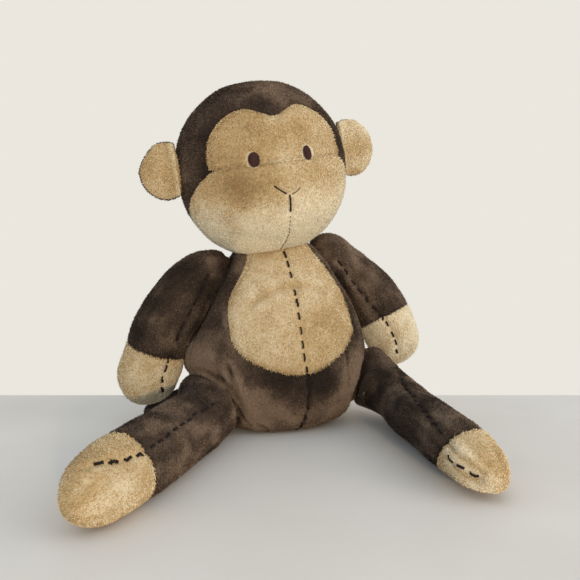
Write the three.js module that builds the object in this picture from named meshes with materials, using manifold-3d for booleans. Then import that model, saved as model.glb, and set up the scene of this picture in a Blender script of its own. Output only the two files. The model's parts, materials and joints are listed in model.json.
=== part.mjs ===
import * as THREE from 'three';
import { mergeVertices } from 'three/addons/utils/BufferGeometryUtils.js';
import Module from 'manifold-3d';

// A seated stuffed monkey with a rattle sewn inside, facing -Y with its left hand on the +X side.
// Millimetres, +Z up, and the origin is on the surface it sits on, under the middle of its seat.

// Cloth, filling and fits
const cloth = 2.4; // thickness of the pile fabric
const seamGap = 0.3; // between two panels where they are sewn together
const fillGap = 0.3; // between the cloth and the filling
const rootGap = 0.8; // between a limb's round root and the socket it moves in
const rootSkim = 0.02; // keeps a round root whole where the way past the torso is cut from its limb
const restDepth = 0.5; // how far a leg is pressed flat where it rests
const seatDepth = 3; // how far the weight of the body presses its seat flat

// Torso: the whole body leans to the monkey's right, which is the -X side
const torsoHeight = 123;
const torsoWidth = 115;
const torsoFront = 46;
const torsoBack = 45;
const sideSeamY = -5; // where the front panels meet the back cover
const bellyBottom = 40.5;
const bellyWidth = 77;
const bellyTurnAngle = 4.4; // how far the covers sit turned round the filling, to the monkey's left
const bodyLeanAngle = -4;

// Head
const headHeight = 107.6;
const headWidth = 107.5;
const headFront = 46;
const headBack = 46;
const chinHeight = 109.8; // where the head's lowest point would be if it didn't lean
const headCentre = new THREE.Vector3(-16.2, -7, chinHeight + headHeight / 2);
const headRollAngle = -8.4;
const headYawAngle = 5;
const neckRadius = 14;
const neckHeight = chinHeight + 3.2; // centre of the ball of filling at the neck
const neckTurnAngle = 30;
const nodDownAngle = 10;
const nodUpAngle = 8;

// Face panels, in the head's own axes
const eyeLineZ = 1; // the seam between forehead and muzzle
const sideLineY = 8; // the seam behind the ears that joins crown and back
const foreheadWidth = 81.5;
const foreheadHeight = 32.2;
const eyeSpacing = 34;
const eyeWidth = 6.6;
const eyeHeight = 8.4;
const eyeRise = 2.8; // height of the eye's middle over the seam

// Ears
const earRadius = 18.5;
const earThickness = 9;
const earReach = 25.5;
const earSweepAngle = 12; // how far the ear points back from straight out
const earHeight = 6.5; // over the head's middle
const earForward = 12; // from the side seam to the ear's root
const foldBackAngle = 12;
const foldFrontAngle = 20;

// Arms, from the ball at the shoulder to the fingertips
const armLength = 112;
const armWidth = 40;
const armThickness = 34;
const shoulderRadius = 16;
const shoulderX = 28;
const shoulderY = 3;
const shoulderZ = 97;
const handLength = 39;
const armRaiseAngle = 40; // outwards, from where the arm hangs

// Legs, from the ball at the hip to the toes
const legLength = 170;
const legWidth = 37.5;
const legThickness = 31;
const hipRadius = 18;
const hipX = 51;
const hipY = -8;
const hipZ = 24;
const footLength = 45;
const pinchedFootLength = 39; // the left foot's cover is gathered by a pinch
const legUpAngle = 50;
const legDownAngle = 30;

// Tail, lying on the surface behind the seat
const tailThickness = 14;
const tailLength = 128;
const tailRootY = 44;
const tailSwingAngle = 90;

// Rattle: a barrel in two halves that push together, with loose beads
const barrelRadius = 17;
const barrelHalfLength = 20;
const barrelWall = 1.6;
const barrelLap = 3; // how far the upper half's lip reaches into the lower half
const barrelCentre = new THREE.Vector3(0, 2, 54);
const beadRadius = 3.4;
const beadCount = 6; // in the ring, round one more in the middle

// Fineness of the forms
const outerSides = 24;
const outerRows = 15;
const innerSides = 16;
const innerRows = 10;
const limbSides = 14;
const limbRows = 11;
const coreSides = 10;
const coreRows = 8;
const ballSegments = 16;
const sweepSteps = 5;
const sweepGap = 1.7; // round a coarse form that stands for all the places it can take

const wasm = await Module();
wasm.setup();

const X = new THREE.Vector3(1, 0, 0);
const Y = new THREE.Vector3(0, 1, 0);
const Z = new THREE.Vector3(0, 0, 1);
const degrees = THREE.MathUtils.degToRad;

// Closed mesh to solid and back
function solid(geometry) {
  const bare = geometry.clone();
  bare.deleteAttribute('normal');
  bare.deleteAttribute('uv');
  const merged = mergeVertices(bare, 1e-4);
  const mesh = new wasm.Mesh({
    numProp: 3,
    vertProperties: new Float32Array(merged.attributes.position.array),
    triVerts: new Uint32Array(merged.index.array),
  });
  return new wasm.Manifold(mesh);
}

function geometryOf(body) {
  const mesh = body.getMesh();
  const geometry = new THREE.BufferGeometry();
  geometry.setAttribute('position', new THREE.BufferAttribute(new Float32Array(mesh.vertProperties), 3));
  geometry.setIndex(new THREE.BufferAttribute(new Uint32Array(mesh.triVerts), 1));
  geometry.computeVertexNormals();
  return geometry;
}

// A smooth curve through evenly numbered values
function smooth(values, t) {
  const last = values.length - 1;
  const at = Math.min(Math.floor(t * last), last - 1);
  const f = t * last - at;
  const [a, b, c, d] = [-1, 0, 1, 2].map((k) => values[THREE.MathUtils.clamp(at + k, 0, last)]);
  const bend = (2 * a - 5 * b + 4 * c - d) * f ** 2 + (3 * b - a - 3 * c + d) * f ** 3;
  return 0.5 * (2 * b + (c - a) * f + bend);
}

// Rings between two poles. ringAt gives a ring's centre, its two directions and its half sizes.
function ringForm(rows, sides, ringAt) {
  const points = [];
  const faces = [];
  for (let row = 0; row <= rows; row += 1) {
    const ring = ringAt(row / rows);
    const isPole = row === 0 || row === rows;
    for (let side = 0; side < (isPole ? 1 : sides); side += 1) {
      const angle = (2 * Math.PI * side) / sides;
      const point = ring.centre.clone();
      if (!isPole) {
        const depth = Math.sin(angle) < 0 ? ring.front : ring.back;
        point.addScaledVector(ring.across, ring.width * Math.cos(angle));
        point.addScaledVector(ring.behind, depth * Math.sin(angle));
      }
      points.push(point);
    }
  }
  const vertex = (row, side) => 1 + (row - 1) * sides + (side % sides);
  const top = points.length - 1;
  for (let side = 0; side < sides; side += 1) {
    faces.push(0, vertex(1, side + 1), vertex(1, side));
    faces.push(top, vertex(rows - 1, side), vertex(rows - 1, side + 1));
    for (let row = 1; row < rows - 1; row += 1) {
      faces.push(vertex(row, side), vertex(row, side + 1), vertex(row + 1, side + 1));
      faces.push(vertex(row, side), vertex(row + 1, side + 1), vertex(row + 1, side));
    }
  }
  const geometry = new THREE.BufferGeometry().setFromPoints(points);
  geometry.setIndex(faces);
  return geometry;
}

// The same form, larger or smaller by a distance square to its surface
function grown(geometry, distance) {
  const result = geometry.clone();
  result.computeVertexNormals();
  const { position, normal } = result.attributes;
  for (let i = 0; i < position.count; i += 1) {
    position.setXYZ(
      i,
      position.getX(i) + distance * normal.getX(i),
      position.getY(i) + distance * normal.getY(i),
      position.getZ(i) + distance * normal.getZ(i),
    );
  }
  return result;
}

function moved(geometry, matrix) {
  return geometry.clone().applyMatrix4(matrix);
}

function turnAbout(pivot, axis, angle) {
  const turn = new THREE.Matrix4().makeRotationAxis(axis, degrees(angle));
  const there = new THREE.Matrix4().makeTranslation(pivot.x, pivot.y, pivot.z);
  const back = new THREE.Matrix4().makeTranslation(-pivot.x, -pivot.y, -pivot.z);
  return there.multiply(turn).multiply(back);
}

function steps(low, high, count = sweepSteps) {
  return Array.from({ length: count }, (_, i) => low + ((high - low) * i) / (count - 1));
}

// What a form covers as it takes each of the places given
function sweptBy(geometry, places) {
  return places.map((matrix) => solid(moved(geometry, matrix))).reduce((sum, body) => sum.add(body));
}

function ball(centre, radius) {
  const sphere = new THREE.SphereGeometry(radius, ballSegments, ballSegments / 2);
  return solid(sphere.translate(centre.x, centre.y, centre.z));
}

// All that lies beyond a plane, as a large block
function beyond(point, direction) {
  const size = 600;
  const block = new THREE.BoxGeometry(size, size, size).translate(0, 0, size / 2);
  block.applyQuaternion(new THREE.Quaternion().setFromUnitVectors(Z, direction.clone().normalize()));
  return solid(block.translate(point.x, point.y, point.z));
}

// The head's and the torso's frames
const leanMatrix = new THREE.Matrix4().makeRotationAxis(Y, degrees(bodyLeanAngle));
const bellyTurn = new THREE.Matrix4().makeRotationAxis(Z, degrees(bellyTurnAngle));
const coverMatrix = leanMatrix.clone().multiply(bellyTurn);
const headMatrix = new THREE.Matrix4()
  .makeTranslation(headCentre.x, headCentre.y, headCentre.z)
  .multiply(new THREE.Matrix4().makeRotationAxis(Y, degrees(headRollAngle)))
  .multiply(new THREE.Matrix4().makeRotationAxis(Z, degrees(headYawAngle)));
const onBody = (x, y, z) => new THREE.Vector3(x, y, z).applyMatrix4(leanMatrix);
const onHead = (x, y, z) => new THREE.Vector3(x, y, z).applyMatrix4(headMatrix);

// Torso form: a pear, flat below and narrow at the neck. Shares of its height, width and depth.
const torsoShape = {
  height: [0, 0.005, 0.06, 0.2, 0.38, 0.56, 0.74, 0.88, 0.97, 1],
  width: [0, 0.5, 0.78, 0.96, 1, 0.92, 0.75, 0.58, 0.34, 0],
  depth: [0, 0.5, 0.78, 0.96, 1, 0.93, 0.78, 0.62, 0.36, 0],
};

function torsoForm(rows, sides) {
  const form = ringForm(rows, sides, (t) => ({
    centre: new THREE.Vector3(0, 0, torsoHeight * smooth(torsoShape.height, t)),
    across: X,
    behind: Y,
    width: (torsoWidth / 2) * smooth(torsoShape.width, t),
    front: torsoFront * smooth(torsoShape.depth, t),
    back: torsoBack * smooth(torsoShape.depth, t),
  }));
  return restOnGround(moved(form, leanMatrix), seatDepth);
}

// Sets a form down so that the ground cuts the given depth off it
function restOnGround(form, depth) {
  form.computeBoundingBox();
  return form.translate(0, 0, -depth - form.boundingBox.min.z);
}

// Head form: round seen from the front, with a fuller muzzle below the eyes
const headShape = {
  height: [0, 0.03, 0.13, 0.28, 0.44, 0.58, 0.72, 0.86, 0.965, 1],
  width: [0, 0.4, 0.72, 0.93, 1, 1, 0.93, 0.73, 0.4, 0],
  front: [0, 0.4, 0.76, 0.97, 1, 0.93, 0.85, 0.65, 0.34, 0],
  back: [0, 0.36, 0.68, 0.9, 0.99, 1, 0.93, 0.73, 0.4, 0],
};

function headForm(rows, sides) {
  const form = ringForm(rows, sides, (t) => ({
    centre: new THREE.Vector3(0, 0, headHeight * (smooth(headShape.height, t) - 0.5)),
    across: X,
    behind: Y,
    width: (headWidth / 2) * smooth(headShape.width, t),
    front: headFront * smooth(headShape.front, t),
    back: headBack * smooth(headShape.back, t),
  }));
  return moved(form, headMatrix);
}

// Limb form: rings along a line with round ends, wide square to the line and to the reference direction
function limbForm({ line, reference, length, width, thickness, swell }, rows, sides) {
  const start = line.getPointAt(0);
  const rootEnd = thickness / 3;
  const total = length + rootEnd;
  return ringForm(rows, sides, (t) => {
    const along = total * (0.5 - 0.5 * Math.cos(Math.PI * t)) - rootEnd;
    const share = THREE.MathUtils.clamp(along / length, 0, 1);
    const tangent = line.getTangentAt(share);
    const centre = along < 0 ? start.clone().addScaledVector(tangent, along) : line.getPointAt(share);
    const across = new THREE.Vector3().crossVectors(reference, tangent).normalize();
    const behind = new THREE.Vector3().crossVectors(tangent, across);
    const fromRoot = THREE.MathUtils.clamp((along + rootEnd) / (width / 2), 0, 1);
    const fromTip = THREE.MathUtils.clamp((length - along) / (width / 2), 0, 1);
    const round = Math.sqrt(1 - (1 - fromRoot) ** 2) * Math.sqrt(1 - (1 - fromTip) ** 2);
    const size = (round * smooth(swell, share)) / 2;
    return { centre, across, behind, width: width * size, front: thickness * size, back: thickness * size };
  });
}

// A line of the given length from a pivot, through offsets that give its shape
function limbLine(pivot, offsets, length) {
  const shape = new THREE.CatmullRomCurve3(offsets.map((offset) => new THREE.Vector3(...offset)));
  const scale = length / shape.getLength();
  return new THREE.CatmullRomCurve3(shape.points.map((point) => point.multiplyScalar(scale).add(pivot)));
}

// The named pieces and the groups that carry them
const monkey = new THREE.Group();
const brown = new THREE.MeshStandardMaterial({ color: 0x46372f, roughness: 0.95, metalness: 0 });
const tan = new THREE.MeshStandardMaterial({ color: 0xc8af82, roughness: 0.95, metalness: 0 });
const thread = new THREE.MeshStandardMaterial({ color: 0x2a1c16, roughness: 0.8, metalness: 0 });
const filling = new THREE.MeshStandardMaterial({ color: 0xf2f0ea, roughness: 1, metalness: 0 });
const shellPlastic = new THREE.MeshStandardMaterial({ color: 0xdfe6ea, roughness: 0.5, metalness: 0 });
const beadPlastic = new THREE.MeshStandardMaterial({ color: 0x4f7fb0, roughness: 0.4, metalness: 0 });

// A body without the crumbs that a cut close to another cut can leave
function withoutCrumbs(body) {
  return body.decompose().reduce((largest, part) => (part.volume() > largest.volume() ? part : largest));
}

// Adds a body, given where it lies in the whole toy, to a group whose place is its pivot
function addPiece(name, body, material, group) {
  const geometry = geometryOf(withoutCrumbs(body));
  const mesh = new THREE.Mesh(geometry.translate(...group.position.clone().negate()), material);
  mesh.name = name;
  group.add(mesh);
}

function bodyGroup(pivot) {
  const group = new THREE.Group();
  group.position.copy(pivot);
  monkey.add(group);
  return group;
}

// Head forms, and where the head can be as the neck turns and nods
const headOuter = headForm(outerRows, outerSides);
const headCoarse = headForm(innerRows, innerSides);
const neckPivot = onBody(0, 0, neckHeight);
const nods = steps(-nodUpAngle, nodDownAngle, 2).map((angle) => turnAbout(neckPivot, X, angle));
const neckPlaces = steps(-neckTurnAngle, neckTurnAngle, 3).flatMap((angle) =>
  nods.map((nod) => turnAbout(neckPivot, Z, angle).multiply(nod)),
);
const headReach = sweptBy(grown(headCoarse, sweepGap), neckPlaces);
const neckSocket = ball(neckPivot, neckRadius + rootGap);
const below = (height) => beyond(new THREE.Vector3(0, 0, height), Z.clone().negate());
const underGround = below(0);

// Limbs. Each has a line, a form, and a round root in a socket of the torso. The seam of its
// end cover lies square to the line, or tilted towards the end on the side that seamTilt points to.
const armShape = {
  reference: Y,
  length: armLength,
  width: armWidth,
  thickness: armThickness,
  swell: [0.74, 0.86, 0.96, 1, 1, 0.97, 0.88],
  rootRadius: shoulderRadius,
  low: 0,
  high: armRaiseAngle,
  endLength: handLength,
  seamTilt: new THREE.Vector3(),
};
const legShape = {
  length: legLength,
  width: legWidth,
  thickness: legThickness,
  swell: [1.2, 1.03, 1.02, 1, 0.99, 0.93, 0.7],
  rootRadius: hipRadius,
  axis: X.clone().negate(),
  low: -legDownAngle,
  high: legUpAngle,
  endLength: footLength,
  seamTilt: new THREE.Vector3(),
};

// How each arm hangs, as places along it from the shoulder
const rightArmOffsets = [
  [0, 0, 0],
  [-17, -1, 1],
  [-39, -2, -26],
  [-48.5, 3, -53],
  [-58, 6.5, -78],
];
const leftArmOffsets = [
  [0, 0, 0],
  [12, 5, 4],
  [42, 11, -17],
  [64.5, 17, -48],
  [73, 22, -71],
];

// How each leg lies, as places along it from the hip
const rightLegOffsets = [
  [0, 0, 0],
  [0, -14, -2],
  [-9, -37, -3],
  [-35, -82, -3.2],
  [-63, -126, -4.5],
  [-76, -146, -8.4],
];
const leftLegOffsets = [
  [0, 0, 0],
  [12, -9, -5],
  [18, -25, -10],
  [15, -53, -11],
  [11, -96, -11.3],
  [9, -140, -13.5],
  [8, -166, -17],
];

const rightShoulder = onBody(-shoulderX, shoulderY, shoulderZ);
const leftShoulder = onBody(shoulderX, shoulderY, shoulderZ);
const rightHip = onBody(-hipX, hipY, hipZ);
const leftHip = onBody(hipX, hipY, hipZ);
const limbs = [
  {
    ...armShape,
    name: 'arm_right',
    end: 'hand_right_cover',
    pivot: rightShoulder,
    offsets: rightArmOffsets,
    axis: Y,
  },
  {
    ...armShape,
    name: 'arm_left',
    end: 'hand_left_cover',
    pivot: leftShoulder,
    offsets: leftArmOffsets,
    axis: Y.clone().negate(),
    seamTilt: new THREE.Vector3(0.11, 0.36, 0.12),
  },
  {
    ...legShape,
    name: 'leg_right',
    end: 'foot_right_cover',
    pivot: rightHip,
    reference: new THREE.Vector3(0.66, -0.47, 0.59),
    offsets: rightLegOffsets,
  },
  {
    ...legShape,
    name: 'leg_left',
    end: 'foot_left_cover',
    pivot: leftHip,
    reference: new THREE.Vector3(0.7, 0, 0.7),
    offsets: leftLegOffsets,
    endLength: pinchedFootLength,
    seamTilt: new THREE.Vector3(-0.35, 0, 0.8),
  },
];
const tailPivot = new THREE.Vector3(0, tailRootY, tailThickness / 2 + 2);
const tail = {
  name: 'tail',
  reference: Z,
  length: tailLength,
  width: tailThickness,
  thickness: tailThickness,
  swell: [1, 0.98, 1, 1, 0.96, 0.94],
  rootRadius: tailThickness / 2 + 0.5,
  pivot: tailPivot,
  axis: Z.clone().negate(),
  low: 0,
  high: tailSwingAngle,
  offsets: [
    [0, 0, 0],
    [-3, 14, -2],
    [-20, 22, -2.5],
    [-43, 18, -2.5],
    [-62, 2, -2.5],
    [-76, -18, -2.5],
    [-84, -34, -2.5],
  ],
};
for (const limb of [...limbs, tail]) {
  limb.line = limbLine(limb.pivot, limb.offsets, limb.length);
}

// Torso, with sockets for the neck and the limbs, and room for the head to turn and nod
const torsoOuter = torsoForm(outerRows, outerSides);
const torsoCoarse = torsoForm(innerRows, innerSides);
const sockets = [...limbs, tail]
  .map((limb) => ball(limb.pivot, limb.rootRadius + rootGap))
  .reduce((sum, socket) => sum.add(socket), neckSocket);
const torsoRoom = sockets.add(headReach).add(underGround);
const torsoInner = solid(grown(torsoCoarse, -cloth)).subtract(below(cloth));
const torsoShell = solid(torsoOuter).subtract(torsoInner).subtract(torsoRoom);

// The belly panel's outline, seen from the front: shares of its half width and height
const bellyShape = [
  [0, 0],
  [0.34, 0.03],
  [0.8, 0.14],
  [0.97, 0.24],
  [1, 0.36],
  [0.95, 0.54],
  [0.79, 0.68],
  [0.56, 0.85],
  [0.38, 1.1],
];
function bellyCutter(grow) {
  const panelHeight = torsoHeight - bellyBottom;
  const right = bellyShape.map(([x, z]) => {
    const onMiddle = x === 0;
    const across = onMiddle ? 0 : (x * bellyWidth) / 2 + grow;
    return new THREE.Vector2(across, bellyBottom + z * panelHeight - (onMiddle ? grow : 0));
  });
  const left = right.slice(1).reverse().map((point) => new THREE.Vector2(-point.x, point.y));
  const outline = new THREE.Shape([...new THREE.SplineCurve([...left, ...right]).getPoints(40)]);
  const cutter = new THREE.ExtrudeGeometry(outline, { depth: torsoWidth, bevelEnabled: false, steps: 1 });
  cutter.rotateX(Math.PI / 2);
  return solid(moved(cutter, coverMatrix));
}

const halfGap = seamGap / 2;
const towardsLeft = X.clone().applyMatrix4(coverMatrix);
const towardsBack = Y.clone().applyMatrix4(coverMatrix);
const sideSeam = towardsBack.clone().multiplyScalar(sideSeamY);
const frontShellOfTorso = torsoShell.intersect(beyond(sideSeam, towardsBack.clone().negate()));
for (const [side, direction] of [['left', towardsLeft], ['right', towardsLeft.clone().negate()]]) {
  const half = frontShellOfTorso.intersect(beyond(direction.clone().multiplyScalar(halfGap), direction));
  addPiece(`belly_panel_${side}`, half.intersect(bellyCutter(-halfGap)), tan, monkey);
  addPiece(`torso_front_${side}`, half.subtract(bellyCutter(halfGap)), brown, monkey);
}
sideSeam.addScaledVector(towardsBack, seamGap);
addPiece('torso_back_cover', torsoShell.intersect(beyond(sideSeam, towardsBack)), brown, monkey);

// Rattle barrel: two cups, the upper one with a lip that pushes into the lower one
const barrelMiddle = barrelCentre.clone().applyMatrix4(leanMatrix);
function turned(outline) {
  const profile = outline.map(([radius, height]) => new THREE.Vector2(radius, height));
  return new THREE.LatheGeometry(profile, ballSegments).rotateX(Math.PI / 2);
}

const barrelRound = 5; // radius of the barrel's rounded rims, cut as two facets
const barrelInside = barrelRadius - barrelWall;
const lipOutside = barrelInside - fillGap;
const cupOutline = [
  [0, -barrelHalfLength],
  [barrelRadius - barrelRound, -barrelHalfLength],
  [barrelRadius - 0.3 * barrelRound, -barrelHalfLength + 0.3 * barrelRound],
  [barrelRadius, -barrelHalfLength + barrelRound],
  [barrelRadius, -halfGap],
];
const insideOutline = [
  [barrelInside, -barrelHalfLength + barrelWall + barrelRound],
  [barrelInside - 0.3 * barrelRound, -barrelHalfLength + barrelWall + 0.3 * barrelRound],
  [barrelInside - barrelRound, -barrelHalfLength + barrelWall],
  [0, -barrelHalfLength + barrelWall],
];
const lowerCup = turned([...cupOutline, [barrelInside, -halfGap], ...insideOutline]);
const lip = [
  [lipOutside, -halfGap],
  [lipOutside, barrelLap],
  [lipOutside - barrelWall, barrelLap],
  [lipOutside - barrelWall, -barrelWall],
  [barrelInside, -2 * barrelWall],
];
const upperCup = turned([...cupOutline, ...lip, ...insideOutline]).rotateX(Math.PI);
addPiece('rattle_shell_lower', solid(lowerCup.translate(...barrelMiddle)), shellPlastic, monkey);
addPiece('rattle_shell_upper', solid(upperCup.translate(...barrelMiddle)), shellPlastic, monkey);

const beads = bodyGroup(barrelMiddle);
const beadFloor = -barrelHalfLength + barrelWall + beadRadius + fillGap;
const beadRing = 2 * beadRadius + 2 * fillGap;
for (let i = 0; i <= beadCount; i += 1) {
  const angle = (2 * Math.PI * i) / beadCount;
  const fromMiddle = i === beadCount ? 0 : beadRing;
  const bead = new THREE.Mesh(new THREE.IcosahedronGeometry(beadRadius, 1), beadPlastic);
  bead.position.set(fromMiddle * Math.cos(angle), fromMiddle * Math.sin(angle), beadFloor);
  bead.name = `rattle_bead_${i + 1}`;
  beads.add(bead);
}

// Filling of the torso, with the rattle's pocket and the way through the back that it was pushed in by
const pocketRadius = barrelRadius + fillGap;
const pocketLength = 2 * (barrelHalfLength + fillGap);
const pocket = new THREE.CylinderGeometry(pocketRadius, pocketRadius, pocketLength, ballSegments);
const pocketWay = new THREE.BoxGeometry(2 * pocketRadius, torsoBack * 2, pocketLength);
const pocketBody = solid(pocket.rotateX(Math.PI / 2)).add(solid(pocketWay.translate(0, torsoBack, 0)));
const torsoFilling = solid(grown(torsoCoarse, -cloth - fillGap))
  .subtract(below(cloth + fillGap))
  .subtract(torsoRoom)
  .subtract(pocketBody.translate(barrelMiddle.toArray()));
addPiece('torso_filling', torsoFilling, filling, monkey);

// Arms, legs and tail
for (const limb of limbs) {
  const { pivot, axis, low, high, rootRadius, line, length, endLength, seamTilt } = limb;
  const openSocket = ball(pivot, rootRadius + rootSkim);
  const swings = steps(low, high).map((angle) => turnAbout(pivot, axis, -angle));
  const torsoReach = sweptBy(grown(torsoCoarse, sweepGap), swings);
  const headPlaces = swings.flatMap((swing) => neckPlaces.map((place) => swing.clone().multiply(place)));
  const headRoom = (gap) => sweptBy(grown(headCoarse, gap), headPlaces);
  const room = torsoReach.subtract(openSocket).add(headRoom(sweepGap)).add(underGround);
  const seamAt = 1 - endLength / length;
  const seamPoint = line.getPointAt(seamAt);
  const outwards = line.getTangentAt(seamAt).sub(seamTilt).normalize();
  const endSide = beyond(seamPoint.clone().addScaledVector(outwards, halfGap), outwards);
  const rootSide = beyond(seamPoint.clone().addScaledVector(outwards, -halfGap), outwards.clone().negate());
  const inner = limbForm(limb, coreRows, coreSides);
  const outer = solid(limbForm(limb, limbRows, limbSides)).add(ball(pivot, rootRadius));
  // Cloth closes the sleeve where the head's room cuts it
  const hollow = solid(grown(inner, -cloth)).subtract(headRoom(sweepGap + cloth));
  const shell = outer.subtract(hollow).subtract(room);
  const group = bodyGroup(pivot);
  addPiece(`${limb.name}_sleeve`, shell.intersect(rootSide), brown, group);
  addPiece(limb.end, shell.intersect(endSide), tan, group);
  const core = solid(grown(inner, -cloth - fillGap)).subtract(headRoom(sweepGap + cloth + fillGap));
  addPiece(`${limb.name}_filling`, core.subtract(room), filling, group);
}

const tailReach = sweptBy(
  grown(torsoCoarse, sweepGap),
  steps(tail.low, tail.high).map((angle) => turnAbout(tail.pivot, tail.axis, -angle)),
).subtract(ball(tail.pivot, tail.rootRadius + rootSkim));
const tailBody = solid(limbForm(tail, limbRows, coreSides)).add(ball(tail.pivot, tail.rootRadius));
addPiece('tail', tailBody.subtract(tailReach).subtract(underGround), brown, bodyGroup(tail.pivot));

// Neck: a firm ball of filling that the head turns on
addPiece('neck_filling', ball(neckPivot, neckRadius), filling, bodyGroup(neckPivot));

// Head covers, cut from one shell by the seams
function besideOnHead(x, y, z, dx, dy, dz) {
  const direction = new THREE.Vector3(dx, dy, dz).transformDirection(headMatrix);
  return beyond(onHead(x, y, z), direction);
}

function frontCutter(outline, depth) {
  const shape = new THREE.Shape(outline);
  const cutter = new THREE.ExtrudeGeometry(shape, { depth, bevelEnabled: false, steps: 1 });
  return solid(moved(cutter.rotateX(Math.PI / 2), headMatrix));
}

// The forehead panel's outline: straight below, with two round lobes above
function foreheadOutline(grow) {
  const half = foreheadWidth / 2;
  const right = [
    [0, 0.81],
    [0.19, 0.9],
    [0.39, 1],
    [0.6, 0.94],
    [0.78, 0.79],
    [0.93, 0.54],
    [0.99, 0.22],
  ].map(([x, z]) => new THREE.Vector2(x * half + (x ? grow : 0), eyeLineZ + z * foreheadHeight + grow));
  const left = right.slice(1).reverse().map((point) => new THREE.Vector2(-point.x, point.y));
  const corner = new THREE.Vector2(half + grow, eyeLineZ - grow);
  const curve = new THREE.SplineCurve([...left, ...right]).getPoints(36).reverse();
  return [new THREE.Vector2(-corner.x, corner.y), corner, ...curve];
}

// The muzzle reaches back below the ears. Seen from the side its seam slants down from the eye line.
const muzzleSlope = 1.32;
const muzzleFrontY = -0.65 * headFront;
function muzzleCutter(grow) {
  const top = eyeLineZ + grow;
  const slantStart = muzzleFrontY + grow;
  const slantEnd = top - (sideLineY - muzzleFrontY) / muzzleSlope;
  const low = -headHeight;
  const outline = [
    [-headHeight, top],
    [-headHeight, low],
    [sideLineY + grow, low],
    [sideLineY + grow, slantEnd],
    [slantStart, top],
  ].map(([y, z]) => new THREE.Vector2(y, z));
  const cutter = new THREE.ExtrudeGeometry(new THREE.Shape(outline), {
    depth: 2 * headWidth,
    bevelEnabled: false,
    steps: 1,
  });
  cutter.translate(0, 0, -headWidth).rotateZ(Math.PI / 2).rotateY(Math.PI / 2);
  return solid(moved(cutter, headMatrix));
}

const eyes = [['left', 1], ['right', -1]].map(([side, sign]) => {
  const pad = new THREE.SphereGeometry(1, 14, 6).scale(eyeWidth / 2, 3, eyeHeight / 2);
  const x = (sign * eyeSpacing) / 2;
  const surface = headFront * 0.955 * Math.sqrt(1 - (x / (headWidth / 2)) ** 2);
  return { name: `eye_${side}`, form: moved(pad.translate(x, -surface, eyeLineZ + eyeRise), headMatrix) };
});

const head = bodyGroup(neckPivot);
const headInner = solid(grown(headCoarse, -cloth));
const earRoots = [1, -1].map((sign) => {
  const root = onHead(sign * (headWidth / 2 + 0.2), sideLineY - earForward, earHeight);
  return { sign, root };
});
const headShell = solid(headOuter).subtract(headInner).subtract(neckSocket);
const crownSide = besideOnHead(0, sideLineY - halfGap, 0, 0, -1, 0);
const backSide = besideOnHead(0, sideLineY + halfGap, 0, 0, 1, 0);
const foreheadCut = (grow) => frontCutter(foreheadOutline(grow), headHeight);
const frontShell = headShell.intersect(crownSide);
const crownBody = frontShell.subtract(foreheadCut(halfGap)).subtract(muzzleCutter(halfGap));
addPiece('crown_cover', crownBody, brown, head);
const foreheadBody = frontShell.intersect(foreheadCut(-halfGap)).subtract(muzzleCutter(halfGap));
addPiece('forehead_panel', foreheadBody, tan, head);
addPiece('muzzle_panel', frontShell.intersect(muzzleCutter(-halfGap)), tan, head);
addPiece('head_back_cover', headShell.intersect(backSide), brown, head);
addPiece('head_filling', solid(grown(headCoarse, -cloth - fillGap)).subtract(neckSocket), filling, head);
for (const eye of eyes) {
  addPiece(eye.name, solid(eye.form).subtract(solid(grown(headOuter, fillGap))), thread, head);
}

// Ears: a round pad each, whose tan front and brown back meet at its edge
for (const { sign, root } of earRoots) {
  const side = sign > 0 ? 'left' : 'right';
  const upright = Z.clone().transformDirection(headMatrix);
  const sweep = degrees(earSweepAngle);
  const outwards = new THREE.Vector3(sign * Math.cos(sweep), Math.sin(sweep), 0);
  outwards.transformDirection(headMatrix);
  const forwards = new THREE.Vector3().crossVectors(outwards, upright).multiplyScalar(sign);
  const pad = ringForm(8, 18, (t) => {
    const slope = Math.PI * (t - 0.5);
    const size = earRadius * Math.cos(slope);
    return {
      centre: new THREE.Vector3(0, 0, (earThickness / 2) * Math.sin(slope)),
      across: X,
      behind: Y,
      width: size,
      front: size,
      back: size,
    };
  });
  const square = new THREE.Vector3().crossVectors(outwards, upright);
  const basis = new THREE.Matrix4().makeBasis(outwards, upright, square);
  const centre = root.clone().addScaledVector(outwards, earReach - earRadius);
  const placed = moved(pad, basis.setPosition(centre));
  const folds = steps(-foldBackAngle, foldFrontAngle).map((angle) =>
    turnAbout(root, upright, -sign * angle),
  );
  const body = solid(placed).subtract(sweptBy(grown(headCoarse, sweepGap), folds));
  const group = bodyGroup(root);
  const front = beyond(centre.clone().addScaledVector(forwards, halfGap), forwards);
  const back = beyond(centre.clone().addScaledVector(forwards, -halfGap), forwards.clone().negate());
  addPiece(`ear_${side}_front`, body.intersect(front), tan, group);
  addPiece(`ear_${side}_back`, body.intersect(back), brown, group);
}

export default monkey;
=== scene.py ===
import json
import math

import bpy
import numpy as np
from mathutils import Matrix, Vector
from mathutils.bvhtree import BVHTree

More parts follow.
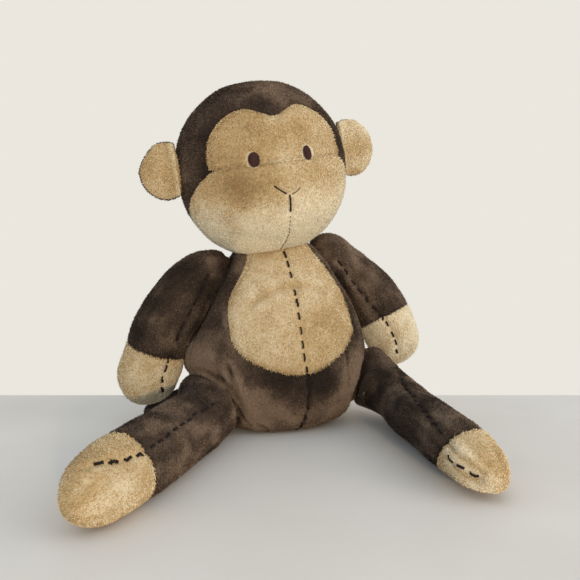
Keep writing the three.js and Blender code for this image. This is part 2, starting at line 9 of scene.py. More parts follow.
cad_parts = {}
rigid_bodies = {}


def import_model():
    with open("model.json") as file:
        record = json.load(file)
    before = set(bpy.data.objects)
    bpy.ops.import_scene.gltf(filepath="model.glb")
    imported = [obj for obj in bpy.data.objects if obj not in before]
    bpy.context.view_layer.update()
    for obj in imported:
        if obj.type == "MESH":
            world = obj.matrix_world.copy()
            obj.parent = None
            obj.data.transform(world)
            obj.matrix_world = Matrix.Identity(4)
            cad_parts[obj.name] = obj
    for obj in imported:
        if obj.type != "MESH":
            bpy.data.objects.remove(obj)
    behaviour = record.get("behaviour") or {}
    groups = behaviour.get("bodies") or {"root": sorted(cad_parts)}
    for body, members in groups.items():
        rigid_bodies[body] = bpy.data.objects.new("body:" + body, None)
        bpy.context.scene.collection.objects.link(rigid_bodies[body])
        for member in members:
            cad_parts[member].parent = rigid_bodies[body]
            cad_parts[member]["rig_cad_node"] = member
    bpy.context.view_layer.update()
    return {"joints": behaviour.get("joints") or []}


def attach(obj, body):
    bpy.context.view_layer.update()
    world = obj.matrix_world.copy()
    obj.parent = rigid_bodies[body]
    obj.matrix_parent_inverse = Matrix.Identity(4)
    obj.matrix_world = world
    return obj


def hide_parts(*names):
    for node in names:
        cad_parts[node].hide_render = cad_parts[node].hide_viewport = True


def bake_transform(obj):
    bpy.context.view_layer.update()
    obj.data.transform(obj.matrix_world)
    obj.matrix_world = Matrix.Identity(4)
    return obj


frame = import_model()

# Lengths here are in millimetres, and become metres where a mesh is made
MM = 0.001
X, Y, Z = np.eye(3)
PIVOT = {joint["child"]: np.array(joint["pos_m"]) / MM for joint in frame["joints"] if "pos_m" in joint}

# Torso, in the body's own axes, which lean to the monkey's right
TORSO_HEIGHT = 123
TORSO_WIDTH = 115
TORSO_FRONT = 46
TORSO_BACK = 45
SIDE_SEAM_Y = -5
SEAT_DEPTH = 3
BODY_LEAN = math.radians(-4)
BELLY_BOTTOM = 40.5
BELLY_WIDTH = 77
BELLY_TURN = math.radians(4.4)

# Head, in its own axes
HEAD_HEIGHT = 107.6
HEAD_WIDTH = 107.5
HEAD_FRONT = 46
HEAD_BACK = 46
HEAD_CENTRE = np.array([-16.2, -7, 163.6])
HEAD_ROLL = math.radians(-8.4)
HEAD_YAW = math.radians(5)
EYE_LINE_Z = 1
SIDE_LINE_Y = 8
FOREHEAD_WIDTH = 81.5
FOREHEAD_HEIGHT = 32.2
MUZZLE_SLOPE = 1.32
MUZZLE_FRONT_Y = -30
EYE_SPACING = 34
EYE_RISE = 2.8
EYE_WIDTH = 6.6
FAR_EYE_WIDTH = 5.4
EYE_HEIGHT = 8.4

# Ears
EAR_RADIUS = 18.5
EAR_THICKNESS = 9
EAR_REACH = 25.5
EAR_SWEEP = math.radians(12)
# EAR_PULL is how much the outline is drawn in at the outer side, at the top, and between the two
EAR_PULL = {"left": (0, 0.02, 0), "right": (0.17, 0.12, 0.26)}
# How much lighter each ear's tan front is; the left ear's is lighter: painted light on the side the light
# comes from
EAR_FRONT_TONE_WITH_PAINTED_LIGHT = {"left": 0.4, "right": 0.14}
EAR_SPLIT = {"left": -0.6, "right": 1.3}
EAR_RIM = {"left": 0.06, "right": 0.2}
EAR_ROLL = {"left": 0.5, "right": 3.2}

# Limbs and tail
ARM_LENGTH = 112
ARM_WIDTH = 40
ARM_THICKNESS = 34
HAND_LENGTH = 39
LEG_LENGTH = 170
LEG_WIDTH = 37.5
LEG_THICKNESS = 31
FOOT_LENGTH = 45
PINCHED_FOOT_LENGTH = 39
TAIL_LENGTH = 128
TAIL_THICKNESS = 14

# Cloth, seams and pile
FINENESS = 1.1
CLOTH = 2.2
SEAM_WIDTH = 1.4
PILE_ROOM = 0.9
PILE_LENGTH = 1.35
PILE_WIDTH = 0.3
PILE_DENSITY = 2.4
MOST_PILE = 30000
MOST_FACES = 196500
PILE_LENGTHS = (0.6, 1.1)
PILE_WIDTHS = (0.8, 1.2)
PILE_RISE = (0.8, 1.4)
LEAST_RISE = 0.25
PILE_STRAY = 0.32
PILE_DEPTH = 0.15
LEAST_PILE = 0.12
SHADE_SPREAD = 0.17
# ROOT_TIP and CLOTH_TIP darken the pile's roots and the cloth under it, and the tips are lighter: painted
# shade deep in the pile and painted light on its tips
ROOT_TIP = 0.35
CLOTH_TIP = 0.3

# How much lighter and darker the patches of brushed pile get
TORSO_PATCHES = 0.5
HEAD_PATCHES = 0.42
LIMB_PATCHES = 0.42
EAR_PATCHES = 0.3
TAIL_PATCHES = 0.4
# How much painted shade darkens the cloth where it dips in and painted light lightens it where it swells, and
# between which depths
TORSO_RELIEF_PAINTED_SHADE = 0.16
LIMB_RELIEF_PAINTED_SHADE = 0.13
RELIEF_PAINTED_SHADE_RANGE = (-3, 1.2)

# Grooves, each with its depth and width
PANEL_GROOVE = (0.9, SEAM_WIDTH)
FACE_GROOVE = (0.8, SEAM_WIDTH)
SIDE_GROOVE = (1.0, SEAM_WIDTH)
BELLY_STITCH_GROOVE = (1.2, 1.9)
LIMB_STITCH_GROOVE = (1.1, 1.9)
MOUTH_GROOVE = (0.8, 1.8)
CHIN_GROOVE = (0.5, 1.4)
EAR_GROOVE = (0.5, 0.9)
LIMB_PRESS = (2.8, 3.0)
TORSO_PRESS = (2.1, 3.2)

# Hand stitching
STITCH_PITCH = 8.3
STITCH_LENGTH = 5.4
STITCH_WIDTH = 1.3
STITCH_SPREAD = (0.88, 1.1)
STITCH_JITTER = 0.06
SATIN_PITCH = 0.42


# Turns and curves
def rotation(axis, angle):
    return np.array(Matrix.Rotation(angle, 3, Vector(axis)))


LEAN = rotation(Y, BODY_LEAN)
HEAD_TURN = rotation(Y, HEAD_ROLL) @ rotation(Z, HEAD_YAW)


def smooth_values(values, t):
    """A smooth curve through evenly numbered values, read at t from 0 to 1."""
    values = np.asarray(values, float)
    last = len(values) - 1
    at = np.minimum((t * last).astype(int), last - 1)
    f = t * last - at
    a, b, c, d = (values[np.clip(at + k, 0, last)] for k in (-1, 0, 1, 2))
    return 0.5 * (2 * b + (c - a) * f + (2 * a - 5 * b + 4 * c - d) * f**2 + (3 * b - a - 3 * c + d) * f**3)


def unit(vectors):
    return vectors / np.maximum(np.linalg.norm(vectors, axis=-1, keepdims=True), 1e-9)


def spline(points, count=400):
    """A centripetal curve through points, like the one that carries a limb in the solids."""
    p = np.asarray(points, float)
    p = np.concatenate([[2 * p[0] - p[1]], p, [2 * p[-1] - p[-2]]])
    pieces = []
    steps = max(8, count // (len(p) - 3))
    for a, b, c, d in zip(p, p[1:], p[2:], p[3:]):
        gaps = [max(np.linalg.norm(v - u) ** 0.5, 1e-4) for u, v in ((a, b), (b, c), (c, d))]
        out_of_b = ((b - a) / gaps[0] - (c - a) / (gaps[0] + gaps[1]) + (c - b) / gaps[1]) * gaps[1]
        into_c = ((c - b) / gaps[1] - (d - b) / (gaps[1] + gaps[2]) + (d - c) / gaps[2]) * gaps[1]
        t = np.linspace(0, 1, steps, endpoint=False)[:, None]
        cubic = (2 * b - 2 * c + out_of_b + into_c) * t**3 + (3 * c - 3 * b - 2 * out_of_b - into_c) * t**2
        pieces.append(cubic + out_of_b * t + b)
    return np.concatenate(pieces + [p[-2:-1]])


def even_curve(points, count):
    """The same curve as evenly spaced places, and its length."""
    fine = spline(points)
    walked = np.concatenate([[0], np.cumsum(np.linalg.norm(np.diff(fine, axis=0), axis=1))])
    even = np.linspace(0, walked[-1], count)
    return np.stack([np.interp(even, walked, column) for column in fine.T], 1), walked[-1]


def noise(places, size, seed):
    """Smooth noise from -1 to 1, with features of about the given size."""
    scaled = places / size + seed * 17.31
    cell = np.floor(scaled).astype(np.int64)
    f = scaled - cell
    f = f * f * f * (f * (6 * f - 15) + 10)
    total = np.zeros(len(places))
    for corner in np.ndindex(2, 2, 2):
        key = cell + corner
        mixed = key[:, 0] * 73856093 ^ key[:, 1] * 19349663 ^ key[:, 2] * 83492791 ^ seed * 265443
        mixed = ((mixed ^ (mixed >> 13)) * 1274126177) & 0x7FFFFFFF
        value = ((mixed ^ (mixed >> 16)) % 65536) / 32767.5 - 1
        total += np.prod(np.where(corner, f, 1 - f), axis=1) * value
    return total


# Surfaces: a dict of arrays with one row for each point, and the triangles between the points
def ring_form(rows, sides, centre, across, behind, width, front, back):
    """Rings between two poles. The last six arguments hold one row for each ring."""
    angle = np.linspace(0, 2 * np.pi, sides, endpoint=False)
    depth = np.where(np.sin(angle)[None, :] < 0, front[:, None], back[:, None])
    rings = centre[:, None] + across[:, None] * (width[:, None] * np.cos(angle))[..., None]
    rings = rings + behind[:, None] * (depth * np.sin(angle))[..., None]
    points = np.concatenate([centre[:1], rings[1:-1].reshape(-1, 3), centre[-1:]])
    index = 1 + np.arange((rows - 1) * sides).reshape(rows - 1, sides)
    after = np.roll(index, -1, axis=1)
    triangles = [
        np.stack([np.zeros(sides, int), after[0], index[0]], 1),
        np.stack([np.full(sides, len(points) - 1), index[-1], after[-1]], 1),
        np.stack([index[:-1], after[:-1], after[1:]], -1).reshape(-1, 3),
        np.stack([index[:-1], after[1:], index[1:]], -1).reshape(-1, 3),
    ]
    return points, np.concatenate(triangles)


def normals_of(points, triangles):
    a, b, c = (points[triangles[:, k]] for k in range(3))
    face = np.cross(b - a, c - a)
    total = np.zeros_like(points)
    for corner in range(3):
        np.add.at(total, triangles[:, corner], face)
    return unit(total)


def cut(surface, triangles, field):
    """Splits triangles where the field crosses zero: the surface, the part below and the part above."""
    value = field(surface)
    value = np.where(np.abs(value) < 1e-3, 1e-3, value)
    up = value[triangles] > 0
    count = up.sum(1)
    crossed = (count == 1) | (count == 2)
    faces, sides = triangles[crossed], up[crossed]
    lone_up = sides.sum(1) == 1
    lone = np.argmax(sides == lone_up[:, None], axis=1)
    a, b, c = (faces[np.arange(len(faces)), (lone + k) % 3] for k in range(3))
    edges = np.sort(np.concatenate([np.stack([a, b], 1), np.stack([a, c], 1)]), axis=1)
    edges, where = np.unique(edges, axis=0, return_inverse=True)
    where = where.reshape(-1)
    low, high = value[edges[:, 0]], value[edges[:, 1]]
    share = (low / (low - high))[:, None]
    result = {}
    for name, rows in surface.items():
        made = rows[edges[:, 0]] * (1 - share) + rows[edges[:, 1]] * share
        result[name] = np.concatenate([rows, made])
    p, q = len(value) + where[: len(a)], len(value) + where[len(a) :]
    small = np.stack([a, p, q], 1)
    large = np.concatenate([np.stack([p, b, c], 1), np.stack([p, c, q], 1)])
    twice = np.concatenate([lone_up, lone_up])
    below = np.concatenate([triangles[count == 0], small[~lone_up], large[twice]])
    above = np.concatenate([triangles[count == 3], small[lone_up], large[~twice]])
    return result, below, above


def used(surface, triangles):
    kept, where = np.unique(triangles, return_inverse=True)
    return {name: rows[kept] for name, rows in surface.items()}, where.reshape(-1, 3)


def thick_sheet(points, normals, triangles, thickness):
    """The surface, the same surface further in, and the rim that joins them: a closed sheet."""
    edges = np.concatenate([triangles[:, [0, 1]], triangles[:, [1, 2]], triangles[:, [2, 0]]])
    _, first, count = np.unique(np.sort(edges, axis=1), axis=0, return_index=True, return_counts=True)
    rim = edges[first[count == 1]]
    n = len(points)
    first_half = np.stack([rim[:, 1], rim[:, 0], rim[:, 0] + n], 1)
    second_half = np.stack([rim[:, 1], rim[:, 0] + n, rim[:, 1] + n], 1)
    both = np.concatenate([points, points - normals * thickness])
    return both, np.concatenate([triangles, triangles[:, ::-1] + n, first_half, second_half])


def make_object(name, points, triangles, material, attributes=None):
    """A smooth-shaded mesh object, in metres."""
    mesh = bpy.data.meshes.new(name)
    mesh.vertices.add(len(points))
    mesh.vertices.foreach_set("co", (points * MM).astype(np.float32).ravel())
    mesh.loops.add(3 * len(triangles))
    mesh.loops.foreach_set("vertex_index", triangles.astype(np.int32).ravel())
    mesh.polygons.add(len(triangles))
    mesh.polygons.foreach_set("loop_start", np.arange(0, 3 * len(triangles), 3, dtype=np.int32))
    mesh.update(calc_edges=True)
    mesh.polygons.foreach_set("use_smooth", np.ones(len(triangles), bool))
    for key, values in (attributes or {}).items():
        mesh.attributes.new(key, "FLOAT", "POINT").data.foreach_set("value", values.astype(np.float32))
    mesh.materials.append(material)
    made = bpy.data.objects.new(name, mesh)
    bpy.context.collection.objects.link(made)
    return made


# Materials
def added(nodes, kind, **values):
    """A new shader node, with values for its inputs by their names."""
    made = nodes.new(f"ShaderNode{kind}")
    for key, value in values.items():
        made.inputs[key.replace("_", " ")].default_value = value
    return made


def colour_ramp(nodes, stops):
    """A ramp through pairs of a position and a colour."""
    made = nodes.new("ShaderNodeValToRGB")
    elements = made.color_ramp.elements
    while len(elements) < len(stops):
        elements.new(0.5)
    for element, (position, colour) in zip(elements, stops):
        element.position = position
        element.color = (*colour, 1)
    return made


def grain_of(nodes, links, scale, detail):
    """Fine noise that stays on the object."""
    made = added(nodes, "TexNoise", Scale=scale, Detail=detail)
    place = nodes.new("ShaderNodeTexCoord")
    links.new(place.outputs["Object"], made.inputs["Vector"])
    return made


def attribute(nodes, name):
    made = nodes.new("ShaderNodeAttribute")
    made.attribute_name = name
    return made


def material(name, roughness, base, sheen=0.0, sheen_tint=(1, 1, 1)):
    made = bpy.data.materials.new(name)
    made.use_nodes = True
    shader = made.node_tree.nodes["Principled BSDF"]
    shader.inputs["Base Color"].default_value = (*base, 1)
    shader.inputs["Roughness"].default_value = roughness
    shader.inputs["Sheen Weight"].default_value = sheen
    shader.inputs["Sheen Roughness"].default_value = 0.5
    shader.inputs["Sheen Tint"].default_value = (*sheen_tint, 1)
    shader.inputs["Specular IOR Level"].default_value = 0.2
    return made, made.node_tree.nodes, made.node_tree.links, shader


def plush(name, dark, middle, light, sheen, sheen_tint):
    """Short pile: the shade attribute picks the colour, and the tip attribute darkens the roots and lightens
    the tips: painted shade deep in the pile and painted light on its tips.
    """
    made, nodes, links, shader = material(name, 0.95, middle, sheen, sheen_tint)
    grain = grain_of(nodes, links, 700, 2)
    stir = nodes.new("ShaderNodeMath")
    stir.operation = "MULTIPLY_ADD"
    stir.inputs[1].default_value = 0.3
    links.new(grain.outputs["Fac"], stir.inputs[0])
    links.new(attribute(nodes, "shade").outputs["Fac"], stir.inputs[2])
    ramp = colour_ramp(nodes, [(0.2, dark), (0.6, middle), (1, light)])
    links.new(stir.outputs["Value"], ramp.inputs["Fac"])
    # Painted shade at the roots, painted light at the tips
    depth = added(nodes, "MapRange", To_Min=0.5, To_Max=1.2)
    links.new(attribute(nodes, "tip").outputs["Fac"], depth.inputs["Value"])
    mix = nodes.new("ShaderNodeVectorMath")
    mix.operation = "SCALE"
    links.new(ramp.outputs["Color"], mix.inputs[0])
    links.new(depth.outputs["Result"], mix.inputs["Scale"])
    links.new(mix.outputs["Vector"], shader.inputs["Base Color"])
    return made


def grainy(name, dark, light, scale, roughness, bump):
    """A plain material with a fine mottle and bump."""
    made, nodes, links, shader = material(name, roughness, light)
    grain = grain_of(nodes, links, scale, 4)
    ramp = colour_ramp(nodes, [(0.3, dark), (0.7, light)])
    links.new(grain.outputs["Fac"], ramp.inputs["Fac"])
    links.new(ramp.outputs["Color"], shader.inputs["Base Color"])
    height = added(nodes, "Bump", Strength=bump, Distance=0.0005)
    links.new(grain.outputs["Fac"], height.inputs["Height"])
    links.new(height.outputs["Normal"], shader.inputs["Normal"])
    return made


BROWN_TONES = (0.016, 0.0098, 0.0068), (0.068, 0.044, 0.030), (0.245, 0.172, 0.120)
TAN_TONES = (0.35, 0.225, 0.10), (0.60, 0.43, 0.215), (0.93, 0.83, 0.62)
BROWN = plush("brown_plush", *BROWN_TONES, 0.12, (0.9, 0.66, 0.48))
TAN = plush("tan_plush", *TAN_TONES, 0.1, (1, 0.9, 0.75))
THREAD = grainy("embroidery_thread", (0.006, 0.0035, 0.003), (0.018, 0.009, 0.007), 1500, 0.7, 0.4)
SATIN = grainy("eye_thread", (0.020, 0.006, 0.005), (0.060, 0.018, 0.015), 900, 0.38, 0.3)
FINE_THREAD = grainy("fine_thread", (0.10, 0.06, 0.03), (0.20, 0.12, 0.06), 1500, 0.7, 0.3)
SHELL = grainy("rattle_shell", (0.70, 0.75, 0.79), (0.76, 0.80, 0.83), 300, 0.45, 0.05)
BEADS = grainy("beads", (0.07, 0.19, 0.42), (0.09, 0.22, 0.46), 200, 0.2, 0.02)
TABLE = grainy("table_paint", (0.67, 0.615, 0.555), (0.71, 0.655, 0.595), 14, 0.5, 0.1)


# Pile: many small closed spikes, each with three roots in the cloth and one tip
def pile_on(surface, triangles, lean, seed):
    """Spikes on the surface. lean gives each place the direction that its pile is brushed in."""
    random = np.random.default_rng(seed)
    a, b, c = (surface["point"][triangles[:, k]] for k in range(3))
    area = np.linalg.norm(np.cross(b - a, c - a), axis=1) / 2
    count = min(int(area.sum() * PILE_DENSITY), MOST_PILE, (MOST_FACES - 2 * len(triangles)) // 4)
    chosen = random.choice(len(triangles), count, p=area / area.sum())
    u, v = random.random(count), random.random(count)
    flip = u + v > 1
    u, v = np.where(flip, 1 - u, u), np.where(flip, 1 - v, v)
    weights = np.stack([1 - u - v, u, v], 1)[..., None]
    root = {name: (rows[triangles[chosen]] * weights).sum(1) for name, rows in surface.items()}
    free = root["pile"][:, 0] > LEAST_PILE
    root = {name: rows[free] for name, rows in root.items()}
    count = len(root["point"])
    normal = unit(root["normal"])
    brushed = lean(root)
    brushed = brushed - normal * (brushed * normal).sum(1, keepdims=True)
    stray = random.normal(0, PILE_STRAY, (count, 3))
    direction = unit(normal * random.uniform(*PILE_RISE, (count, 1)) + unit(brushed) + stray)
    rise = (direction * normal).sum(1, keepdims=True)
    direction = unit(direction + normal * np.maximum(0, LEAST_RISE - rise))
    long = PILE_LENGTH * random.uniform(*PILE_LENGTHS, (count, 1)) * root["pile"]
    side = unit(np.cross(direction, normal) + 1e-6)
    across = np.cross(side, direction)
    turn = random.uniform(0, 2 * np.pi, count)
    wide = PILE_WIDTH * random.uniform(*PILE_WIDTHS, (count, 1))
    base = root["point"] - normal * PILE_DEPTH
    corners = []
    for k in range(3):
        angle = (turn + 2 * np.pi * k / 3)[:, None]
        corners.append(base + wide * (side * np.cos(angle) + across * np.sin(angle)))
    apex = base + direction * long
    points = np.stack([*corners, apex], 1).reshape(-1, 3)
    first = 4 * np.arange(count)[:, None]
    faces = [first + np.array([face]) for face in ((0, 1, 3), (1, 2, 3), (2, 0, 3), (0, 2, 1))]
    shade = root["shade"][:, 0] + random.normal(0, SHADE_SPREAD, count)
    tip = np.tile([ROOT_TIP, ROOT_TIP, ROOT_TIP, 1.0], count)
    return points, np.concatenate(faces), np.repeat(shade, 4), tip


def ride_or_blend(made, body):
    if isinstance(body, str):
        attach(made, body)
    else:
        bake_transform(made)


def surface_of(points, triangles, shade, pile, **more):
    """The arrays that covers are made from. pile is how much of its length the pile has."""
    normal = normals_of(points, triangles)
    return {"point": points, "normal": normal, "shade": shade[:, None], "pile": pile[:, None], **more}


def cover(name, surface, triangles, finish, lean, body, nodes):
    """One panel of cloth with its pile, as one object that rides its body and stands for nodes."""
    surface, triangles = used(surface, triangles)
    seed = sum(map(ord, name))
    sheet_points, sheet_faces = thick_sheet(surface["point"], unit(surface["normal"]), triangles, CLOTH)
    pile_points, pile_faces, pile_shade, pile_tip = pile_on(surface, triangles, lean, seed)
    points = np.concatenate([sheet_points, pile_points])
    faces = np.concatenate([sheet_faces, pile_faces + len(sheet_points)])
    shade = np.concatenate([np.tile(surface["shade"][:, 0], 2), pile_shade])
    tip = np.concatenate([np.full(len(sheet_points), CLOTH_TIP), pile_tip])
    made = make_object(name, points, faces, finish, {"shade": shade, "tip": tip})
    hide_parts(*nodes)
    ride_or_blend(made, body)


def groove(distance, depth, width):
    return -depth * np.exp(-((distance / width) ** 2))


def bulge(points, centre, radius, height):
    """A soft swelling round a place."""
    return height * np.exp(-((np.linalg.norm(points - np.array(centre), axis=1) / radius) ** 2))


def fold(points, start, end, width, depth):
    """A crease from start to end that dies away at both ends, with a soft ridge on each side."""
    start, end = np.asarray(start, float), np.asarray(end, float)
    along = end - start
    share = np.clip(((points - start) @ along) / (along @ along), 0, 1)
    nearest = start + share[:, None] * along
    distance = np.linalg.norm(points - nearest, axis=1)
    fade = np.sin(np.pi * np.clip(share, 0.02, 0.98)) ** 0.5
    valley = np.exp(-((distance / width) ** 2))
    ridge = np.exp(-(((distance - 2 * width) / (1.2 * width)) ** 2))
    return depth * fade * (0.45 * ridge - valley)


def settle(points, softness=0.8):
    """Presses what is below the ground flat on it."""
    points = points.copy()
    points[:, 2] = 0.5 * (points[:, 2] + np.sqrt(points[:, 2] ** 2 + softness**2))
    return points


def line_distance(points, lines):
    """Distance to the nearest of several lines, each given as closely spaced places."""
    best = np.full(len(points), 99.0)
    for line in lines:
        for place in line:
            best = np.minimum(best, np.linalg.norm(points - place, axis=1))
    return best


def pile_near(distance, bare=0.3, full=1.8):
    """Share of the pile's length that is left beside a stitched line or seam."""
    return np.clip((distance - bare) / (full - bare), 0.15, 1)


def fringe(distance):
    """Longer pile along the edge of a patch, which crosses the seam there."""
    return 1 + 0.75 * np.exp(-((distance / 1.3) ** 2))


# Thread: round strands that lie on the cloth
def tree_of(points, triangles):
    return BVHTree.FromPolygons([Vector(point) for point in points], triangles.tolist())


def laid(places, tree):
    """The nearest places on the cloth, and the directions out of it."""
    found = [tree.find_nearest(Vector(place)) for place in places]
    return np.array([hit[0] for hit in found]), np.array([hit[1] for hit in found])


def strand(path, out, radius):
    count = len(path)
    tangent = unit(np.gradient(path, axis=0))
    across = unit(np.cross(out, tangent))
    behind = np.cross(tangent, across)
    share = np.linspace(-1, 1, count)
    size = radius * np.sqrt(1 - share**6)
    return ring_form(count - 1, 6, path, across, behind, size, size, size)


def joined(forms):
    """Several forms as one."""
    points = np.concatenate([form[0] for form in forms])
    firsts = np.cumsum([0] + [len(form[0]) for form in forms[:-1]])
    return points, np.concatenate([form[1] + first for form, first in zip(forms, firsts)])


def stitch(path, out, width, lift):
    """Three strands side by side that dip into the cloth at both ends."""
    share = np.linspace(0, 1, len(path))[:, None]
    tangent = unit(np.gradient(path, axis=0))
    side = np.cross(out, tangent)
    rise = lift * np.sin(np.pi * share) ** 0.4 - 0.9 * (np.abs(2 * share - 1)) ** 6
    forms = []
    for k in (-1, 0, 1):
        turn = 0.5 * np.sin(2 * np.pi * share + 2 * k)
        place = path + out * (rise + 0.12 * turn) + side * (k + 0.3 * turn) * width / 3
        forms.append(strand(place, out, width / 4.6))
    return joined(forms)


def running_stitches(line, tree, pitch, length, width, lift, seed):
    """Evenly spaced stitches along a line, a little uneven as hand work is."""
    random = np.random.default_rng(seed)
    walked = np.concatenate([[0], np.cumsum(np.linalg.norm(np.diff(line, axis=0), axis=1))])
    forms = []
    for start in np.arange(0.5 * (pitch - length), walked[-1] - 0.6 * length, pitch):
        begin = start + random.normal(0, STITCH_JITTER * pitch)
        spots = np.linspace(begin, begin + length * random.uniform(*STITCH_SPREAD), 11)
        places = np.stack([np.interp(spots, walked, column) for column in line.T], 1)
        path, out = laid(places, tree)
        out = unit(np.tile(out.mean(0), (len(out), 1)))
        forms.append(stitch(path, out, width * random.uniform(*STITCH_SPREAD), lift))
    return joined(forms)


def thread_piece(name, form, finish, body):
    made = make_object(name, *form, finish)
    ride_or_blend(made, body)
    return made


# Torso: a pear, flat below and narrow at the neck
TORSO_DEPTH = [0, 0.5, 0.78, 0.96, 1, 0.93, 0.78, 0.62, 0.36, 0]
TORSO_SHAPE = {
    "height": [0, 0.005, 0.06, 0.2, 0.38, 0.56, 0.74, 0.88, 0.97, 1],
    "width": [0, 0.5, 0.78, 0.96, 1, 0.92, 0.75, 0.58, 0.34, 0],
    "front": TORSO_DEPTH,
    "back": TORSO_DEPTH,
}
BELLY_SHAPE = [
    (0, 0),
    (0.34, 0.03),
    (0.8, 0.14),
    (0.97, 0.24),
    (1, 0.36),
    (0.95, 0.54),
    (0.79, 0.68),
    (0.56, 0.85),
    (0.38, 1.1),
]


def body_form(shape, girth, length, base, height, width, front, back):
    """Upright rings by the shape's shares. girth and length only set how many rings and points there are."""
    sides = int(girth / FINENESS)
    rows = int(length / FINENESS)
    t = np.linspace(0, 1, rows + 1)
    share = {name: smooth_values(values, t) for name, values in shape.items()}
    return ring_form(
        rows,
        sides,
        (height * (share["height"] - base))[:, None] * Z,
        np.tile(X, (rows + 1, 1)),
        np.tile(Y, (rows + 1, 1)),
        width / 2 * share["width"],
        front * share["front"],
        back * share["back"],
    )


def outline_distance(places, outline):
    """Signed distance to a closed outline in the plane, below zero inside."""
    ends = np.roll(outline, -1, axis=0)
    best = np.full(len(places), np.inf)
    inside = np.zeros(len(places), bool)
    for a, b in zip(outline, ends):
        along = b - a
        share = np.clip(((places - a) @ along) / (along @ along), 0, 1)
        best = np.minimum(best, np.linalg.norm(places - a - share[:, None] * along, axis=1))
        crosses = (a[1] > places[:, 1]) != (b[1] > places[:, 1])
        with np.errstate(divide="ignore", invalid="ignore"):
            at = a[0] + (places[:, 1] - a[1]) * along[0] / along[1]
        inside ^= crosses & (places[:, 0] < at)
    return np.where(inside, -best, best)


def mirrored_outline(half):
    """A smooth closed outline from points on its right half, the first on the middle line."""
    left = [(-x, z) for x, z in half[:0:-1]]
    flat = np.array([(x, 0, z) for x, z in left + half])
    return even_curve(flat, 90)[0][:, [0, 2]]


def belly_outline():
    height = TORSO_HEIGHT - BELLY_BOTTOM
    return mirrored_outline([(x * BELLY_WIDTH / 2, BELLY_BOTTOM + z * height) for x, z in BELLY_SHAPE])


# Head: round seen from the front, with a fuller muzzle below the eyes
HEAD_SHAPE = {
    "height": [0, 0.03, 0.13, 0.28, 0.44, 0.58, 0.72, 0.86, 0.965, 1],
    "width": [0, 0.4, 0.72, 0.93, 1, 1, 0.93, 0.73, 0.4, 0],
    "front": [0, 0.4, 0.76, 0.97, 1, 0.93, 0.85, 0.65, 0.34, 0],
    "back": [0, 0.36, 0.68, 0.9, 0.99, 1, 0.93, 0.73, 0.4, 0],
}
FOREHEAD_SHAPE = [
    (0, 0.81),
    (0.19, 0.9),
    (0.39, 1),
    (0.6, 0.94),
    (0.78, 0.79),
    (0.93, 0.54),
    (0.99, 0.22),
    (1, 0),
]


def forehead_outline():
    half = [(x * FOREHEAD_WIDTH / 2, EYE_LINE_Z + z * FOREHEAD_HEIGHT) for x, z in FOREHEAD_SHAPE]
    return mirrored_outline(half)


# Limbs
ARM_SWELL = [0.74, 0.86, 0.96, 1, 1, 0.97, 0.88]
TAIL_SWELL = [1, 0.98, 1, 1, 0.96, 0.94]
LEG_SWELL = [1.2, 1.03, 1.02, 1, 0.99, 0.93, 0.7]
RIGHT_ARM = [(0, 0, 0), (-17, -1, 1), (-39, -2, -26), (-48.5, 3, -53), (-58, 6.5, -78)]
LEFT_ARM = [(0, 0, 0), (12, 5, 4), (42, 11, -17), (64.5, 17, -48), (73, 22, -71)]
RIGHT_LEG = [(0, 0, 0), (0, -14, -2), (-9, -37, -3), (-35, -82, -3.2), (-63, -126, -4.5), (-76, -146, -8.4)]
LEFT_LEG = [
    (0, 0, 0),
    (12, -9, -5),
    (18, -25, -10),
    (15, -53, -11),
    (11, -96, -11.3),
    (9, -140, -13.5),
    (8, -166, -17),
]
TAIL = [
    (0, 0, 0),
    (-3, 14, -2),
    (-20, 22, -2.5),
    (-43, 18, -2.5),
    (-62, 2, -2.5),
    (-76, -18, -2.5),
    (-84, -34, -2.5),
]


# Places on a limb: a distance from its root, and an angle round it in degrees
SEWN_LINES = {
    "arm_right": {
        "sleeve": [(15, 280), (25, 258), (37, 250), (60, 246)],
        "end": [(68, 248), (88, 246), (96, 234)],
    },
    "arm_left": {
        "sleeve": [(10, 262), (27, 278), (47, 288), (67, 286)],
        "end": [(69, 283), (86, 282), (97, 286)],
    },
    "leg_right": {
        "sleeve": [(41, 98), (79, 100), (124, 94)],
        "end": [(127, 92), (141, 102), (149, 118), (155, 138)],
    },
    "leg_left": {
        "sleeve": [(39, 134), (104, 168), (141, 194)],
        "end": [(146, 218), (152, 222), (158, 216), (166, 226)],
    },
}
# Creases, each with its two ends, width and depth; below zero it is a ridge
LIMB_FOLDS = {
    "arm_right": [((7, 230), (35, 206), 1.9, -1.5), ((33, 206), (61, 220), 1.9, -1.5)],
    "arm_left": [((14, 300), (38, 316), 2.4, 1.0)],
    "leg_right": [
        ((8, 100), (20, 70), 2.0, 2.4),
        ((14, 96), (26, 66), 2.0, -1.2),
        ((24, 84), (50, 60), 3.0, 1.0),
    ],
    "leg_left": [
        ((144, 196), (166, 200), 1.8, 2.4),
        ((147, 184), (163, 186), 1.8, -1.0),
        ((150, 236), (166, 240), 2.0, 1.8),
        ((30, 120), (52, 150), 2.6, 1.2),
    ],
}
# Lighter and darker patches, partly brushed pile and partly painted light and shade, each with its centre,
# radius and how much lighter it is; the monkey's left leg gets lighter, on the side the light comes from
LIMB_PILE_AND_LIGHT_SPOTS = {
    "arm_right": [],
    "arm_left": [],
    "leg_right": [((-127, -147, 27), 13, -0.3), ((-108, -150, 16), 15, 0.22)],
    "leg_left": [
        ((50, -60, 30), 24, 0.14),
        ((54, -110, 30), 20, 0.18),
        ((55, -164, 22), 10, -0.25),
        ((45, -150, 22), 7, 0.2),
        ((51, -162, 7), 9, 0.2),
    ],
}
